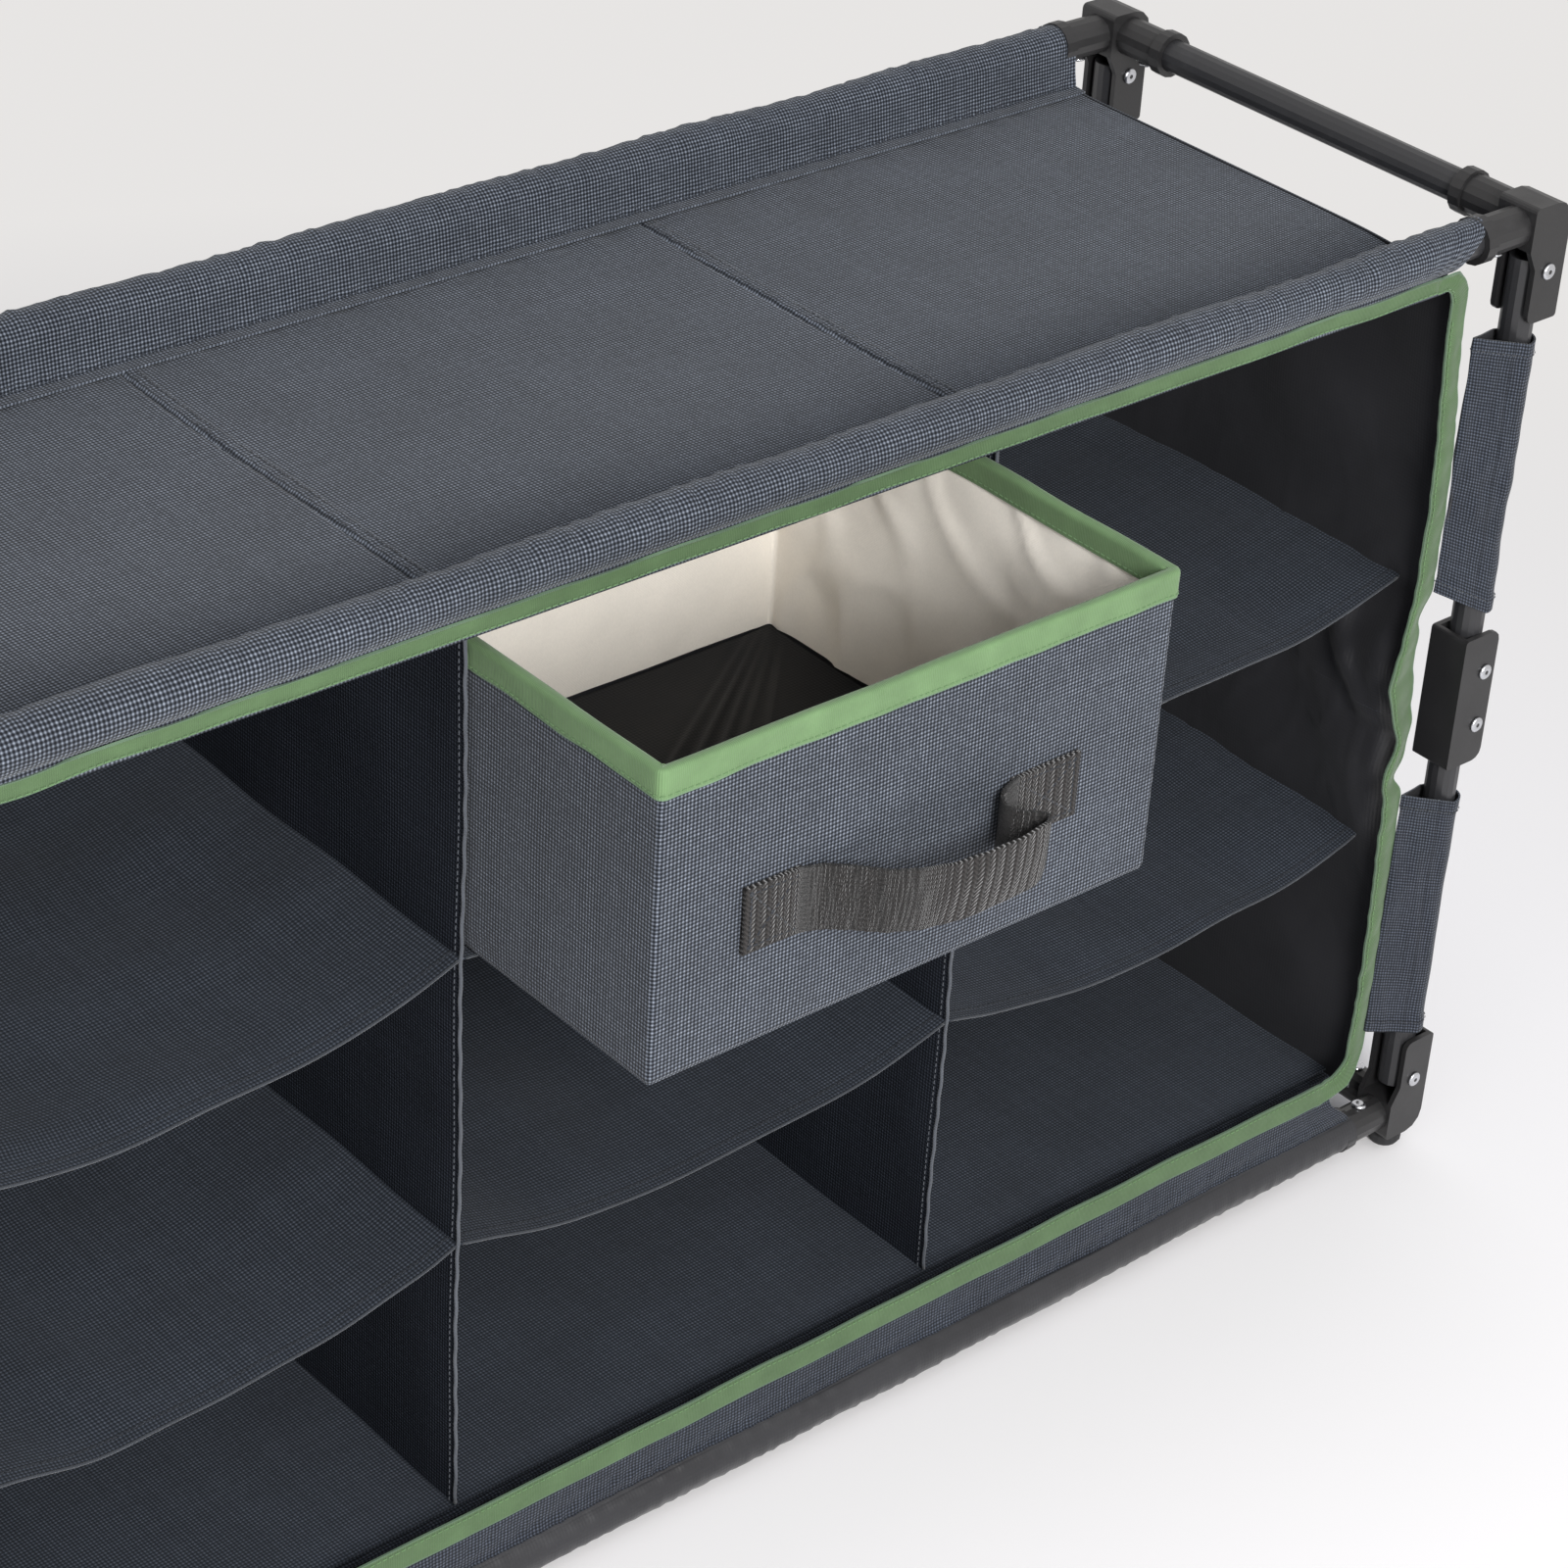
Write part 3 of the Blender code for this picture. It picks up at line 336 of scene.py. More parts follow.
# The next three weaves are darker copies of the weave above, for the base rolls and pockets, the floor cloth
# and shelves, and the dividers: painted shade.
SHADED_SIDE_WEAVE = weave_finish("side_weave_painted_shade", (0.003, 0.004, 0.0065), (0.016, 0.021, 0.032), (0.100, 0.116, 0.150))
SHADED_INNER_WEAVE = weave_finish(
    "inner_weave_painted_shade", (0.0076, 0.0100, 0.0145), (0.031, 0.039, 0.053), (0.096, 0.109, 0.136), 0.07
)
SHADED_DIVIDER_WEAVE = weave_finish(
    "divider_weave_painted_shade", (0.0045, 0.0056, 0.0085), (0.0150, 0.0185, 0.0265), (0.043, 0.050, 0.065), 0.0
)
COATED = coated_finish("coated_reverse", (0.020, 0.020, 0.0225))
BOARD = coated_finish("board_cover", (0.0085, 0.009, 0.0105), 0.3, 0.06)
# The opening's tape is a darker copy of the drawer rim tape's green: painted shade.
SHADED_TAPE = tape_finish("green_tape_painted_shade", (0.076, 0.130, 0.058), TAPE_WIDTH)
RIM_TAPE = tape_finish("green_rim_tape", (0.125, 0.210, 0.095), 0.036)
WEBBING = webbing_finish("webbing")
LINING = lining_finish("cream_lining")
STEEL = moulded_finish("black_paint", (0.024, 0.024, 0.026), 0.36, 1400.0, 0.3)
PLASTIC = moulded_finish("moulded_black", (0.017, 0.0165, 0.017), 0.38, 900.0, 0.3)
RUBBER = moulded_finish("dark_rubber", (0.018, 0.018, 0.019), 0.78, 500.0, 0.5)
NICKEL = metal_finish("nickel")
PIPING = yarn_finish("piping", (0.075, 0.083, 0.098))
HEM = yarn_finish("hem", (0.036, 0.041, 0.050))
THREAD = yarn_finish("thread", (0.022, 0.026, 0.034))
GREEN_THREAD = yarn_finish("green_thread", (0.13, 0.24, 0.10))


# Mesh building


def wave(u, v, size, seed, stretch=1.0):
    """Smooth hills about one unit high and one size wide, always the same for a seed."""
    draw = np.random.default_rng(seed)
    total = np.zeros(np.broadcast(u, v).shape)
    for _ in range(8):
        angle, phase = draw.uniform(0, math.pi), draw.uniform(0, TAU)
        length = size * draw.uniform(0.6, 1.8)
        total += np.sin(TAU * (u * math.cos(angle) / stretch + v * math.sin(angle)) / length + phase)
    return total / 3.0


def crease(u, v, size, seed, stretch=1.0):
    """Narrow ridges, 0 to 1, where a wave crosses zero."""
    return np.exp(-((wave(u, v, size, seed, stretch) / 0.22) ** 2))


def bell(x, centre, width):
    return np.exp(-(((x - centre) / width) ** 2))


def bells(x, rows):
    """A sum of bells, each given by its height, centre and width."""
    return sum(height * bell(x, centre, width) for height, centre, width in rows)


def ease(x, low, high):
    t = np.clip((x - low) / (high - low), 0, 1)
    return t * t * (3 - 2 * t)


def window(x, low, full, fading, high):
    """1 from full to fading, and 0 outside low and high."""
    return ease(x, low, full) * (1 - ease(x, fading, high))


def plateau(x, low, high, width):
    """0 at low and high, and 1 from a width inside them."""
    return window(x, low, low + width, high - width, high)


def steps(low, high, size):
    return np.linspace(low, high, max(2, round(abs(high - low) / size) + 1))


def spots(place, u, v):
    """The points of a surface at u and v."""
    return np.stack(np.broadcast_arrays(*place(*np.broadcast_arrays(u, v))), -1)


def distances(line):
    """How far along a polyline each of its points lies."""
    return np.concatenate([[0], np.cumsum(np.linalg.norm(np.diff(line, axis=0), axis=1))])


def at(distance, along, columns):
    """Each column of a table, read at a distance along it."""
    return (np.interp(distance, along, part) for part in columns.T)


def resampled(line, pitch):
    """A polyline cut into equal steps, with its distance along it."""
    line = np.asarray(line, float)
    lengths = distances(line)
    along = steps(0, lengths[-1], pitch)
    return np.stack(list(at(along, lengths, line)), 1), along


def tangents(line):
    slope = np.gradient(line, axis=0)
    return slope / np.linalg.norm(slope, axis=1, keepdims=True)


def new_mesh(name, points, faces, smooth=True):
    mesh = bpy.data.meshes.new(name)
    mesh.from_pydata(points.reshape(-1, 3).tolist(), [], faces)
    mesh.polygons.foreach_set("use_smooth", np.full(len(faces), smooth))
    mesh.update()
    return mesh


def set_uvs(mesh, places):
    layer = mesh.uv_layers.new(name="UVMap")
    layer.data.foreach_set("uv", places.astype(np.float32).ravel())


def grid_mesh(name, points, uvs, turned=False):
    """A sheet of quads with sharp borders, welded where its last row comes back to its first."""
    rows, columns = points.shape[:2]
    index = np.arange(rows * columns).reshape(rows, columns)

    def quads(index):
        corners = [index[:-1, :-1], index[1:, :-1], index[1:, 1:], index[:-1, 1:]]
        return np.stack(corners[::-1] if turned else corners, -1).reshape(-1, 4)

    uv_faces = quads(index)
    if np.allclose(points[0], points[-1], atol=1e-6):
        index[-1] = index[0]
        points = points[:-1]
    mesh = new_mesh(name, points, quads(index).tolist())
    set_uvs(mesh, uvs.reshape(-1, 2)[uv_faces])
    sides = np.empty(len(mesh.loops), np.int32)
    mesh.loops.foreach_get("edge_index", sides)
    border = np.bincount(sides, minlength=len(mesh.edges)) < 2
    mesh.attributes.new("sharp_edge", "BOOLEAN", "EDGE").data.foreach_set("value", border)
    return mesh


def add_object(name, data):
    item = bpy.data.objects.new(name, data)
    bpy.context.scene.collection.objects.link(item)
    return item


def add_piece(name, mesh, materials, body, slot, replaces=(), squash=None):
    piece = add_object(name, mesh)
    for material in materials:
        mesh.materials.append(material)
    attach(piece, body)
    if replaces:
        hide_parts(*replaces)
    if squash:
        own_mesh(piece)
    return piece


def cloth(name, place, us, vs, materials, held, outward, rests_on=(), thickness=CLOTH, grow=-1, **look):
    """A sheet over a grid of u and v, both in metres of cloth. Its second material is its reverse.

    outward is the way that its face looks at its middle. Its thickness goes in from the grid, or with grow 0
    to both sides. look is the body and slot, and perhaps replaces and squash; the slot is not used.
    """
    u, v = np.meshgrid(us, vs, indexing="ij")
    points = spots(place, u, v)
    i, j = len(us) // 2, len(vs) // 2
    facing = np.cross(points[i, j] - points[i - 1, j], points[i, j] - points[i, j - 1])
    turned = facing @ np.array(outward, float) < 0
    mesh = grid_mesh(name, points, np.stack([u, v], -1), turned)
    piece = add_piece(name, mesh, materials, **look)
    solid = piece.modifiers.new("thickness", "SOLIDIFY")
    solid.thickness = thickness
    solid.offset = grow
    solid.material_offset = len(materials) - 1


def add_cord(name, line, radius, material, **look):
    """A round cord along a line, closed at its ends."""
    along = tangents(line)
    helper = np.where(abs(along[:, 2:]) > 0.9, [[1.0, 0, 0]], [[0, 0, 1.0]])
    across = np.cross(along, helper)
    across /= np.linalg.norm(across, axis=1, keepdims=True)
    other = np.cross(along, across)
    turn = np.linspace(0, TAU, CORD_SIDES + 1)
    ring = across[:, None] * np.cos(turn)[:, None] + other[:, None] * np.sin(turn)[:, None]
    start, end = (np.repeat(line[None, k, None], CORD_SIDES + 1, 1) for k in (0, -1))
    rings = np.concatenate([start, line[:, None] + radius * ring, end])
    length = distances(line)
    length = np.concatenate([[0], length, length[-1:]])
    mesh = grid_mesh(name, rings, np.stack(np.meshgrid(length, turn * radius, indexing="ij"), -1))
    add_piece(name, mesh, [material], **look)


# A stitch's faces, in corners: its base's four and the two ends of its ridge
STITCH = ((1, 0, 4), (0, 3, 5, 4), (3, 2, 5), (2, 1, 4, 5), (0, 1, 2, 3))


def add_stitches(name, lines, material, length=0.0028, gap=0.0012, width=0.0007, height=0.0005, **look):
    """Short raised stitches along lines. Each line is its points and the direction that it faces."""
    corners = []
    for line, normal in lines:
        points, _ = resampled(line, length + gap)
        direction = tangents(points)
        normals = np.atleast_2d(np.asarray(normal, float))
        up = np.stack(list(at(np.linspace(0, 1, len(points)), np.linspace(0, 1, len(normals)), normals)), 1)
        across = np.cross(direction, up)
        across /= np.linalg.norm(across, axis=1, keepdims=True)
        half, edge = direction * length / 2, across * width / 2
        base = [points - half - edge, points - half + edge, points + half + edge, points + half - edge]
        ridge = [points - half * 0.6 + up * height, points + half * 0.6 + up * height]
        corners.append(np.stack(base + ridge, 1).reshape(-1, 3))
    corners = np.concatenate(corners)
    faces = [[first + k for k in face] for first in range(0, len(corners), 6) for face in STITCH]
    mesh = new_mesh(name, corners, faces, smooth=False)
    places = corners[np.concatenate(faces)]
    set_uvs(mesh, places[:, :2] + places[:, 2:])
    add_piece(name, mesh, [material], **look)


# Camera, light and floor


def turned_to(right, above, away):
    return Matrix(np.column_stack([right, above, away]).tolist()).to_4x4()


def add_camera():
    """The photograph's own view, found from its edges."""
    azimuth, elevation, roll = (math.radians(angle) for angle in CAMERA_ANGLES)
    level = np.array([math.cos(azimuth), -math.sin(azimuth), 0.0])
    ahead = np.array([math.sin(azimuth), math.cos(azimuth), 0.0])
    forward = ahead * math.cos(elevation) - [0, 0, math.sin(elevation)]
    upward = np.cross(level, forward)
    right = math.cos(roll) * level + math.sin(roll) * upward
    above = -math.sin(roll) * level + math.cos(roll) * upward
    data = bpy.data.cameras.new("photo_view")
    data.sensor_width = 36.0
    data.lens = CAMERA_LENS
    data.clip_start, data.clip_end = 0.05, 60.0
    camera = add_object("photo_view", data)
    camera.matrix_world = Matrix.Translation(CAMERA_PLACE) @ turned_to(right, above, -forward)
    bpy.context.scene.camera = camera


def add_light(name, place, target, size, power):
    data = bpy.data.lights.new(name, "AREA")
    data.shape = "DISK"
    data.size = size
    data.energy = power
    away = np.array(place, float) - np.array(target, float)
    away /= np.linalg.norm(away)
    side = np.cross([0, 0, 1], away)
    side /= np.linalg.norm(side)
    turn = turned_to(side, np.cross(away, side), away)
    add_object(name, data).matrix_world = Matrix.Translation(place) @ turn


def add_surroundings():
    add_light("above", (0.2, -2.4, 3.2), (0, 0, 0.3), 1.8, 22.0)
    add_light("front", (-1.05, -3.0, 2.0), (0, 0, 0.45), 1.3, 132.0)
    world = bpy.data.worlds.new("studio")
    world.use_nodes = True
    nodes = Nodes(world.node_tree)
    sky = nodes.tree.nodes["Background"]
    sky.inputs["Color"].default_value = (*SKY, 1)
    sky.inputs["Strength"].default_value = SKY_STRENGTH
    plain = nodes.node("Background", (*BACKGROUND, 1))
    mixed = nodes.node("MixShader", nodes.background_rays(), sky.outputs[0], plain)
    nodes.plug(nodes.tree.nodes["World Output"].inputs["Surface"], mixed)
    bpy.context.scene.world = world
    u, v = np.meshgrid(steps(-9, 9, 3), steps(-9, 9, 3), indexing="ij")
    mesh = grid_mesh("floor", np.stack([u, v, 0 * u], -1), np.stack([u, v], -1))
    mesh.materials.append(floor_finish("pale_floor"))
    add_object("floor", mesh)
    bpy.context.scene.view_settings.view_transform = "Standard"


# Top cover and floor cloth

TOP_CLOTH, FLOOR_CLOTH = (dict(body=body, slot="dark_cloth") for body in ("top", "base"))
INSIDE_CLOTH = dict(body="base", slot="dark_cloth", squash=SQUASH_UP)
# How far in the opening's edges are drawn: at its corners, at the bottom run's ends, and between
TOP_CORNER_PULL = -0.0110
LOW_CORNER_PULL = -0.0060
LOW_END_PULL = -0.0010
STEADY_PULL = -0.0034


def add_cover():
    """The cloth top, stretched between the long tubes, with a felled seam over each divider."""

    def seam(v, side):
        return side * DIVIDER_X + 0.0012 * np.sin(v * 31 + side)

    def place(u, v):
        z = COVER_HIGH.z - 0.0009 + 0.0007 * wave(u, v, 0.22, 3)
        back = (v - PANEL_FRONT) / (PANEL_REAR - PANEL_FRONT)
        z = z - 0.0022 * (1 - (u / WALL_X) ** 2) * np.sin(math.pi * back)
        for _, side in SIDES:
            across = u - seam(v, side)
            z = z - 0.0013 * bell(across, 0, 0.0011)
            z = z + 0.0006 * window(across, 0.0005, 0.002, 0.008, 0.0105)
            z = z + 0.0004 * bell(across, 0.004, 0.007) * np.sin(v * TAU / 0.011 + 2 * wave(u, v, 0.05, 5))
        pucker = 0.0007 * bell(v, PANEL_REAR, 0.012) * np.sin(u * TAU / 0.034 + 3 * wave(u, v, 0.2, 9))
        drawn = TOP_CORNER_PULL * bell(v, PANEL_FRONT, 0.050) * ease(abs(u), WALL_X - 0.08, WALL_X)
        return u + np.sign(u) * drawn, v, z + pucker

    fine = [DIVIDER_X * side + steps(-0.014, 0.014, 0.0007) for _, side in SIDES]
    us = np.unique(np.round(np.concatenate([steps(-CLOTH_SIDE, CLOTH_SIDE, 0.006), *fine]), 5))
    cloth("cover_cloth", place, us, steps(CLOTH_FRONT, CLOTH_REAR, 0.0035), [WEAVE, COATED], "stretched",
          (0, 0, 1), ["top_roll_front", "top_roll_rear"], replaces=["top_cover"], **TOP_CLOTH)
    v = steps(PANEL_FRONT + 0.004, PANEL_REAR - 0.004, 0.002)
    rows = [seam(v, side) + shift for _, side in SIDES for shift in (0.0028, 0.0078)]
    add_stitches("cover_stitches", [(spots(place, u, v), (0, 0, 1)) for u in rows], THREAD, **TOP_CLOTH)


def add_floor_cloth():
    def place(u, v):
        low = FLOOR_HIGH.z - 0.0010 + 0.0008 * wave(u, v, 0.16, 21) + 0.0012 * bell(v, PANEL_FRONT, 0.03)
        return u, v, np.minimum(low, FLOOR_HIGH.z)

    us, vs = steps(-CLOTH_SIDE, CLOTH_SIDE, 0.007), steps(CLOTH_FRONT, CLOTH_REAR, 0.007)
    # The floor cloth takes the darker inner copy of the weave: painted shade.
    cloth("floor_cloth", place, us, vs, [SHADED_INNER_WEAVE, COATED], "stretched", (0, 0, 1),
          ["base_roll_front", "base_roll_rear"], replaces=["floor_panel"], **FLOOR_CLOTH)


# Rolls round the long tubes


def strip_squash(top):
    """Folding lays the posts over the strips and tapes beside the rolls, so they flatten onto the rolls."""
    level = TOP_TUBE_Z - ROLL_RADIUS - 0.0006 if top else BASE_TUBE_Z + ROLL_RADIUS + 0.0006
    return dict(axis=(0, 0, 1), anchor=(0, 0, level), keep=STRIP_KEEP)


def roll_profile(top, front):
    """(y, z) across a long tube's sleeve: lip on the panel, round the tube, and strip behind the tape."""
    tube_y, tube_z = (FRONT_Y if front else REAR_Y), (TOP_TUBE_Z if top else BASE_TUBE_Z)
    up, ahead = (1 if top else -1), (-1 if front else 1)
    panel = up * ((COVER_HIGH.z + 0.0010 if top else FLOOR_LOW.z - 0.0010) - tube_z)
    lip, touch, strip = 0.0245, 0.0151, -0.0052
    local = [(lip, panel), (touch, panel)]
    arc = np.linspace(0.12, math.pi + math.acos(-strip / ROLL_RADIUS), 46)
    local += [(ROLL_RADIUS * math.cos(a), ROLL_RADIUS * math.sin(a)) for a in arc]
    low_end = OPENING_LOW if front else FLOOR_LOW.z
    end = COVER_LOW.z + 0.0045 if top else low_end - 0.001
    local.append((strip, up * (end - tube_z)))
    return np.array([(tube_y - ahead * a, tube_z + up * b) for a, b in local])


def add_roll(top, front):
    kind, end_name = "top" if top else "base", "front" if front else "rear"
    seed = 31 + 2 * top + front
    line, along = resampled(roll_profile(top, front), 0.0016)
    direction = tangents(line)
    normal = np.stack([direction[:, 1], -direction[:, 0]], 1) * (1 if top == front else -1)
    total = along[-1]
    tube_z = TOP_TUBE_Z if top else BASE_TUBE_Z
    tube = window(along, 0.030, 0.042, total - 0.030, total - 0.012)
    slant = 0.030 if top else 0.023

    def place(u, v):
        y, z, ny, nz = at(v, along, np.hstack([line, normal]))
        round_part = np.interp(v, along, tube)
        bulge = 0.0005 + 0.0009 * wave(u, v, 0.11, seed, 2.0) * round_part
        bulge = bulge + 0.0005 * wave(u, v, 0.018, seed + 1, 0.6) * round_part
        pucker = np.sin(u * TAU / 0.021 + 4 * wave(u, v, 0.15, seed + 2))
        bulge = bulge + 0.0007 * bell(v, 0.0115, 0.006) * pucker
        near_end = ease(abs(u), SLEEVE_HALF - 0.06, SLEEVE_HALF)
        cut = slant * ease(v, total - 0.044, total - 0.016) * near_end
        return u - np.sign(u) * cut, y + ny * bulge, z + nz * bulge

    us = steps(-SLEEVE_HALF, SLEEVE_HALF, 0.0045)
    upright = direction[:, 0] ** 2 < 0.1
    leaves = int(np.argmax((abs(line[:, 1] - tube_z) > 0.006) & (along > 0.55 * total) & upright))
    name, node = f"{kind}_roll_{end_name}", [f"{kind}_sleeve_{end_name}"]
    # The base rolls take the darker side copy of the weave: painted shade.
    faces = [WEAVE if top else SHADED_SIDE_WEAVE, COATED]
    look = dict(body=kind, slot="two_tone_weave")
    cloth(name, place, us, along[:leaves + 1], faces, "folded", (0, *normal[len(along) // 2]),
          [f"{kind}_tube_{end_name}"], replaces=node, **look)
    cloth(f"{kind}_strip_{end_name}", place, us, along[leaves:], faces, "hung", (0, -1 if front else 1, 0),
          [name], replaces=node, squash=strip_squash(top), **look)
    u = steps(-SLEEVE_HALF + 0.006, SLEEVE_HALF - 0.006, 0.003)
    lines = [(spots(place, u, shift), (0, 0, 1 if top else -1)) for shift in (0.0105, 0.0140)]
    v = steps(0.03, along[leaves] - 0.002, 0.002)
    facing = np.stack([0 * v, *at(v, along, normal)], 1)
    lines += [(spots(place, end * (SLEEVE_HALF - 0.007), v), facing) for end in (-1, 1)]
    add_stitches(name + "_stitches", lines, THREAD, **look)


# Green tape round the opening

TOP_RUN_WIDTH, TOP_TURN_WIDTH, TOP_TAPE_END = 0.0092, 0.0120, 0.0139
TURN_BACK = 0.0035
TURN_BACK_SPREAD = 0.9


def tape_line(top):
    """Inner edge of the tape's top or bottom run with its two corners: x, z and outward direction."""
    radius = 0.010 if top else 0.013
    level, inward = (OPENING_HIGH, -1) if top else (OPENING_LOW, 1)
    centre_x, centre_z = OPENING_HALF - radius, level + inward * radius
    right = [(OPENING_HALF, centre_z + inward * 0.010, 1.0, 0.0)]
    for a in np.linspace(0, math.pi / 2, 15):
        x, z = math.cos(a), -inward * math.sin(a)
        right.append((centre_x + radius * x, centre_z + radius * z, x, z))
    run = [(x, level, 0.0, -inward) for x in steps(centre_x - 0.004, 0.004 - centre_x, 0.004)]
    return np.array(right + run + [(-x, z, -nx, nz) for x, z, nx, nz in reversed(right)])


def tape_y(z, x):
    """How far forward the tape lies: flat, but over the round of the top sleeve where it reaches that."""
    reach = ROLL_RADIUS + 0.0024
    over = FRONT_Y - np.sqrt(np.clip(reach**2 - (z - TOP_TUBE_Z) ** 2, 0, None))
    on_roll = (z > TOP_TUBE_Z - reach) & (abs(x) < SLEEVE_HALF - 0.004)
    return np.where(on_roll, np.minimum(TAPE_Y, over), TAPE_Y)


def add_tape(name, place, us, step, inset, body, held_by, squash):
    """A run of tape with its stitches, which start and end an inset from its ends."""
    look = dict(body=body, slot="green_binding", squash=squash)
    # The tape takes the darker copy of the binding's green: painted shade.
    cloth(name, place, us, steps(0, TAPE_WIDTH, step), [SHADED_TAPE], "folded", (0, -1, 0), [held_by],
          thickness=TAPE_THICKNESS, replaces=["front_binding"], **look)
    points = spots(place, steps(us[0] + inset[0], us[-1] - inset[1], 0.003), TAPE_STITCH_IN) + [0, -0.0007, 0]
    add_stitches(name + "_stitches", [(points, (0, -1, 0))], GREEN_THREAD, **look)


def add_tape_run(top):
    table = tape_line(top)
    lengths = distances(table[:, :2])
    run, turn, end = (TOP_RUN_WIDTH, TOP_TURN_WIDTH, TOP_TAPE_END) if top else (TAPE_WIDTH,) * 3
    corner_pull, end_pull = (TOP_CORNER_PULL,) * 2 if top else (LOW_CORNER_PULL, LOW_END_PULL)
    seed = 51 if top else 52

    def place(u, v):
        x, z, nx, nz = at(u, lengths, table)
        sideways = abs(nx)
        corner = ease(abs(x), OPENING_HALF - 0.030, OPENING_HALF - 0.010)
        width = run * (1 - corner) + turn * corner
        width = width + (end - width) * ease(sideways, 0.75, 1.0)
        reach = v / TAPE_WIDTH * width
        upright = ease(sideways, 0.7, 1.0)
        soft = 0.0006 * wave(u, 0 * v, 0.07, seed) + 0.0008 * corner * np.sin(u * TAU / 0.017)
        out = reach + soft * (1 - upright)
        pull = (corner_pull + (end_pull - corner_pull) * ease(sideways, 0.6, 1.0)) * corner
        x2, z2 = x + nx * out + pull * np.sign(x), z + nz * out
        ripple = abs(0.0007 * wave(u, v, 0.05, seed + 2, 2.0) * (0.4 + corner))
        ripple = (ripple + 0.0006 * corner * crease(u, v, 0.03, seed + 4)) * (1 - upright)
        pleat = 0.0016 * bell(sideways, 0.7, 0.14) * v / TAPE_WIDTH
        back = TURN_BACK * upright * ease(v / TAPE_WIDTH, 0.35, 1.0)
        y2 = tape_y(z2, x2) - 0.0003 - ripple - pleat + back
        return x2 + np.sign(x2) * TURN_BACK_SPREAD * back, y2, z2

    body = "top" if top else "base"
    name = "tape_top" if top else "tape_bottom"
    add_tape(name, place, steps(0, lengths[-1], 0.003), 0.0016, (0.012, 0.012), body, f"{body}_roll_front",
             strip_squash(top))


# Round the knee, up the opening's upright edges: how far they are drawn in, and how much wider the tape lies
KNEE_PULLS = ((-0.0105, 0.368, 0.024), (-0.003, 0.403, 0.012), (0.0045, 0.321, 0.009), (-0.003, 0.296, 0.010))
KNEE_WIDTHS = ((0.006, 0.362, 0.016), (-0.0045, 0.403, 0.009), (-0.005, 0.319, 0.008), (-0.006, 0.294, 0.008))


def edge_pull(z):
    """How far the opening's upright edges are drawn in: most beside the knee, and more towards the top."""
    steady = STEADY_PULL * ease(z, 0.20, 0.27) + (TOP_CORNER_PULL - STEADY_PULL) * ease(z, 0.49, 0.5997)
    return steady + bells(z, KNEE_PULLS)


def edge_width(z):
    """The tape's width as it lies, pinched above and below the knee and spread out beside it."""
    return TAPE_WIDTH + (TOP_TAPE_END - TAPE_WIDTH) * ease(z, 0.50, 0.598) + bells(z, KNEE_WIDTHS)


def halves(low, high):
    """The lower and upper half of each side, parted at the knee, with its part of the height."""
    for side_name, side in SIDES:
        yield "lower", side_name, side, low, MIDDLE_Z - HALF_GAP
        yield "upper", side_name, side, MIDDLE_Z + HALF_GAP, high


def flattened(x):
    """Folding lays a post down, and the cloth beside it flattens onto the plane at x."""
    return dict(axis=(1, 0, 0), anchor=(x, 0, 0), keep=FLAT_KEEP)


def add_tape_uprights():
    low, high = OPENING_LOW + 0.023, OPENING_HIGH - 0.020
    for part, side_name, side, start, end in halves(low, high):

        def place(z, v):
            share = v / TAPE_WIDTH
            free = plateau(z, low, high, 0.02)
            corner = LOW_END_PULL * (1 - ease(z, low, low + 0.03))
            inner = OPENING_HALF + edge_pull(z) + corner + 0.0005 * wave(z, 0 * z, 0.06, 61 + side) * free
            knee = bell(z, MIDDLE_Z + 0.018, 0.050)
            back = (TURN_BACK + 0.0055 * knee) * ease(share, 0.35 - 0.2 * knee, 1.0)
            x = inner + share * edge_width(z) + TURN_BACK_SPREAD * back
            y = TAPE_Y - 0.0003 - 0.0006 * abs(wave(z, v, 0.03, 71 + side)) * free + back
            return side * x, y - 0.0012 * knee * abs(np.sin(z * TAU / 0.052)) * share, z

        half = f"{part}_{side_name}"
        add_tape(f"tape_{half}", place, steps(start, end, 0.0024), 0.0013, (0.004, 0.002),
                 f"{part}_front_{side_name}", f"wall_{half}", flattened(side * (POST_X - WING_START)))


# Walls, back panel, dividers and shelves


def wall_x(y, z, side):
    """How far out a side wall's outer face hangs: drawn in at its front and creased by the knee."""
    top, low, front, rear = SHELL_HIGH.z, SHELL_LOW.z, WALL_FRONT, BACK_Y
    pull = edge_pull(z) * bell(y, front, 0.050) * ease(z, low, low + 0.05)
    slack = plateau(y, front, rear, 0.02) * plateau(z, low, top, 0.03)
    billow = 0.0045 * wave(y, z, 0.17, 81 + side) * slack
    main_fold = y - front - 0.034 - 0.020 * np.sin((z - 0.345) / 0.028)
    other_fold = y - front - 0.082 - 0.55 * (z - 0.36)
    folds = 0.0075 * bell(main_fold, 0, 0.010) * bell(z, 0.374, 0.046) * ease(y, front, front + 0.012)
    folds = folds + 0.0060 * bell(other_fold, 0, 0.019) * bell(z, 0.345, 0.060)
    folds = folds + 0.0016 * crease(y, z, 0.09, 85 + side, 0.5) * slack * bell(z, MIDDLE_Z, 0.13)
    return WALL_X + 0.0006 + pull - np.clip(0.0015 - billow, -0.001, 0.006) - folds


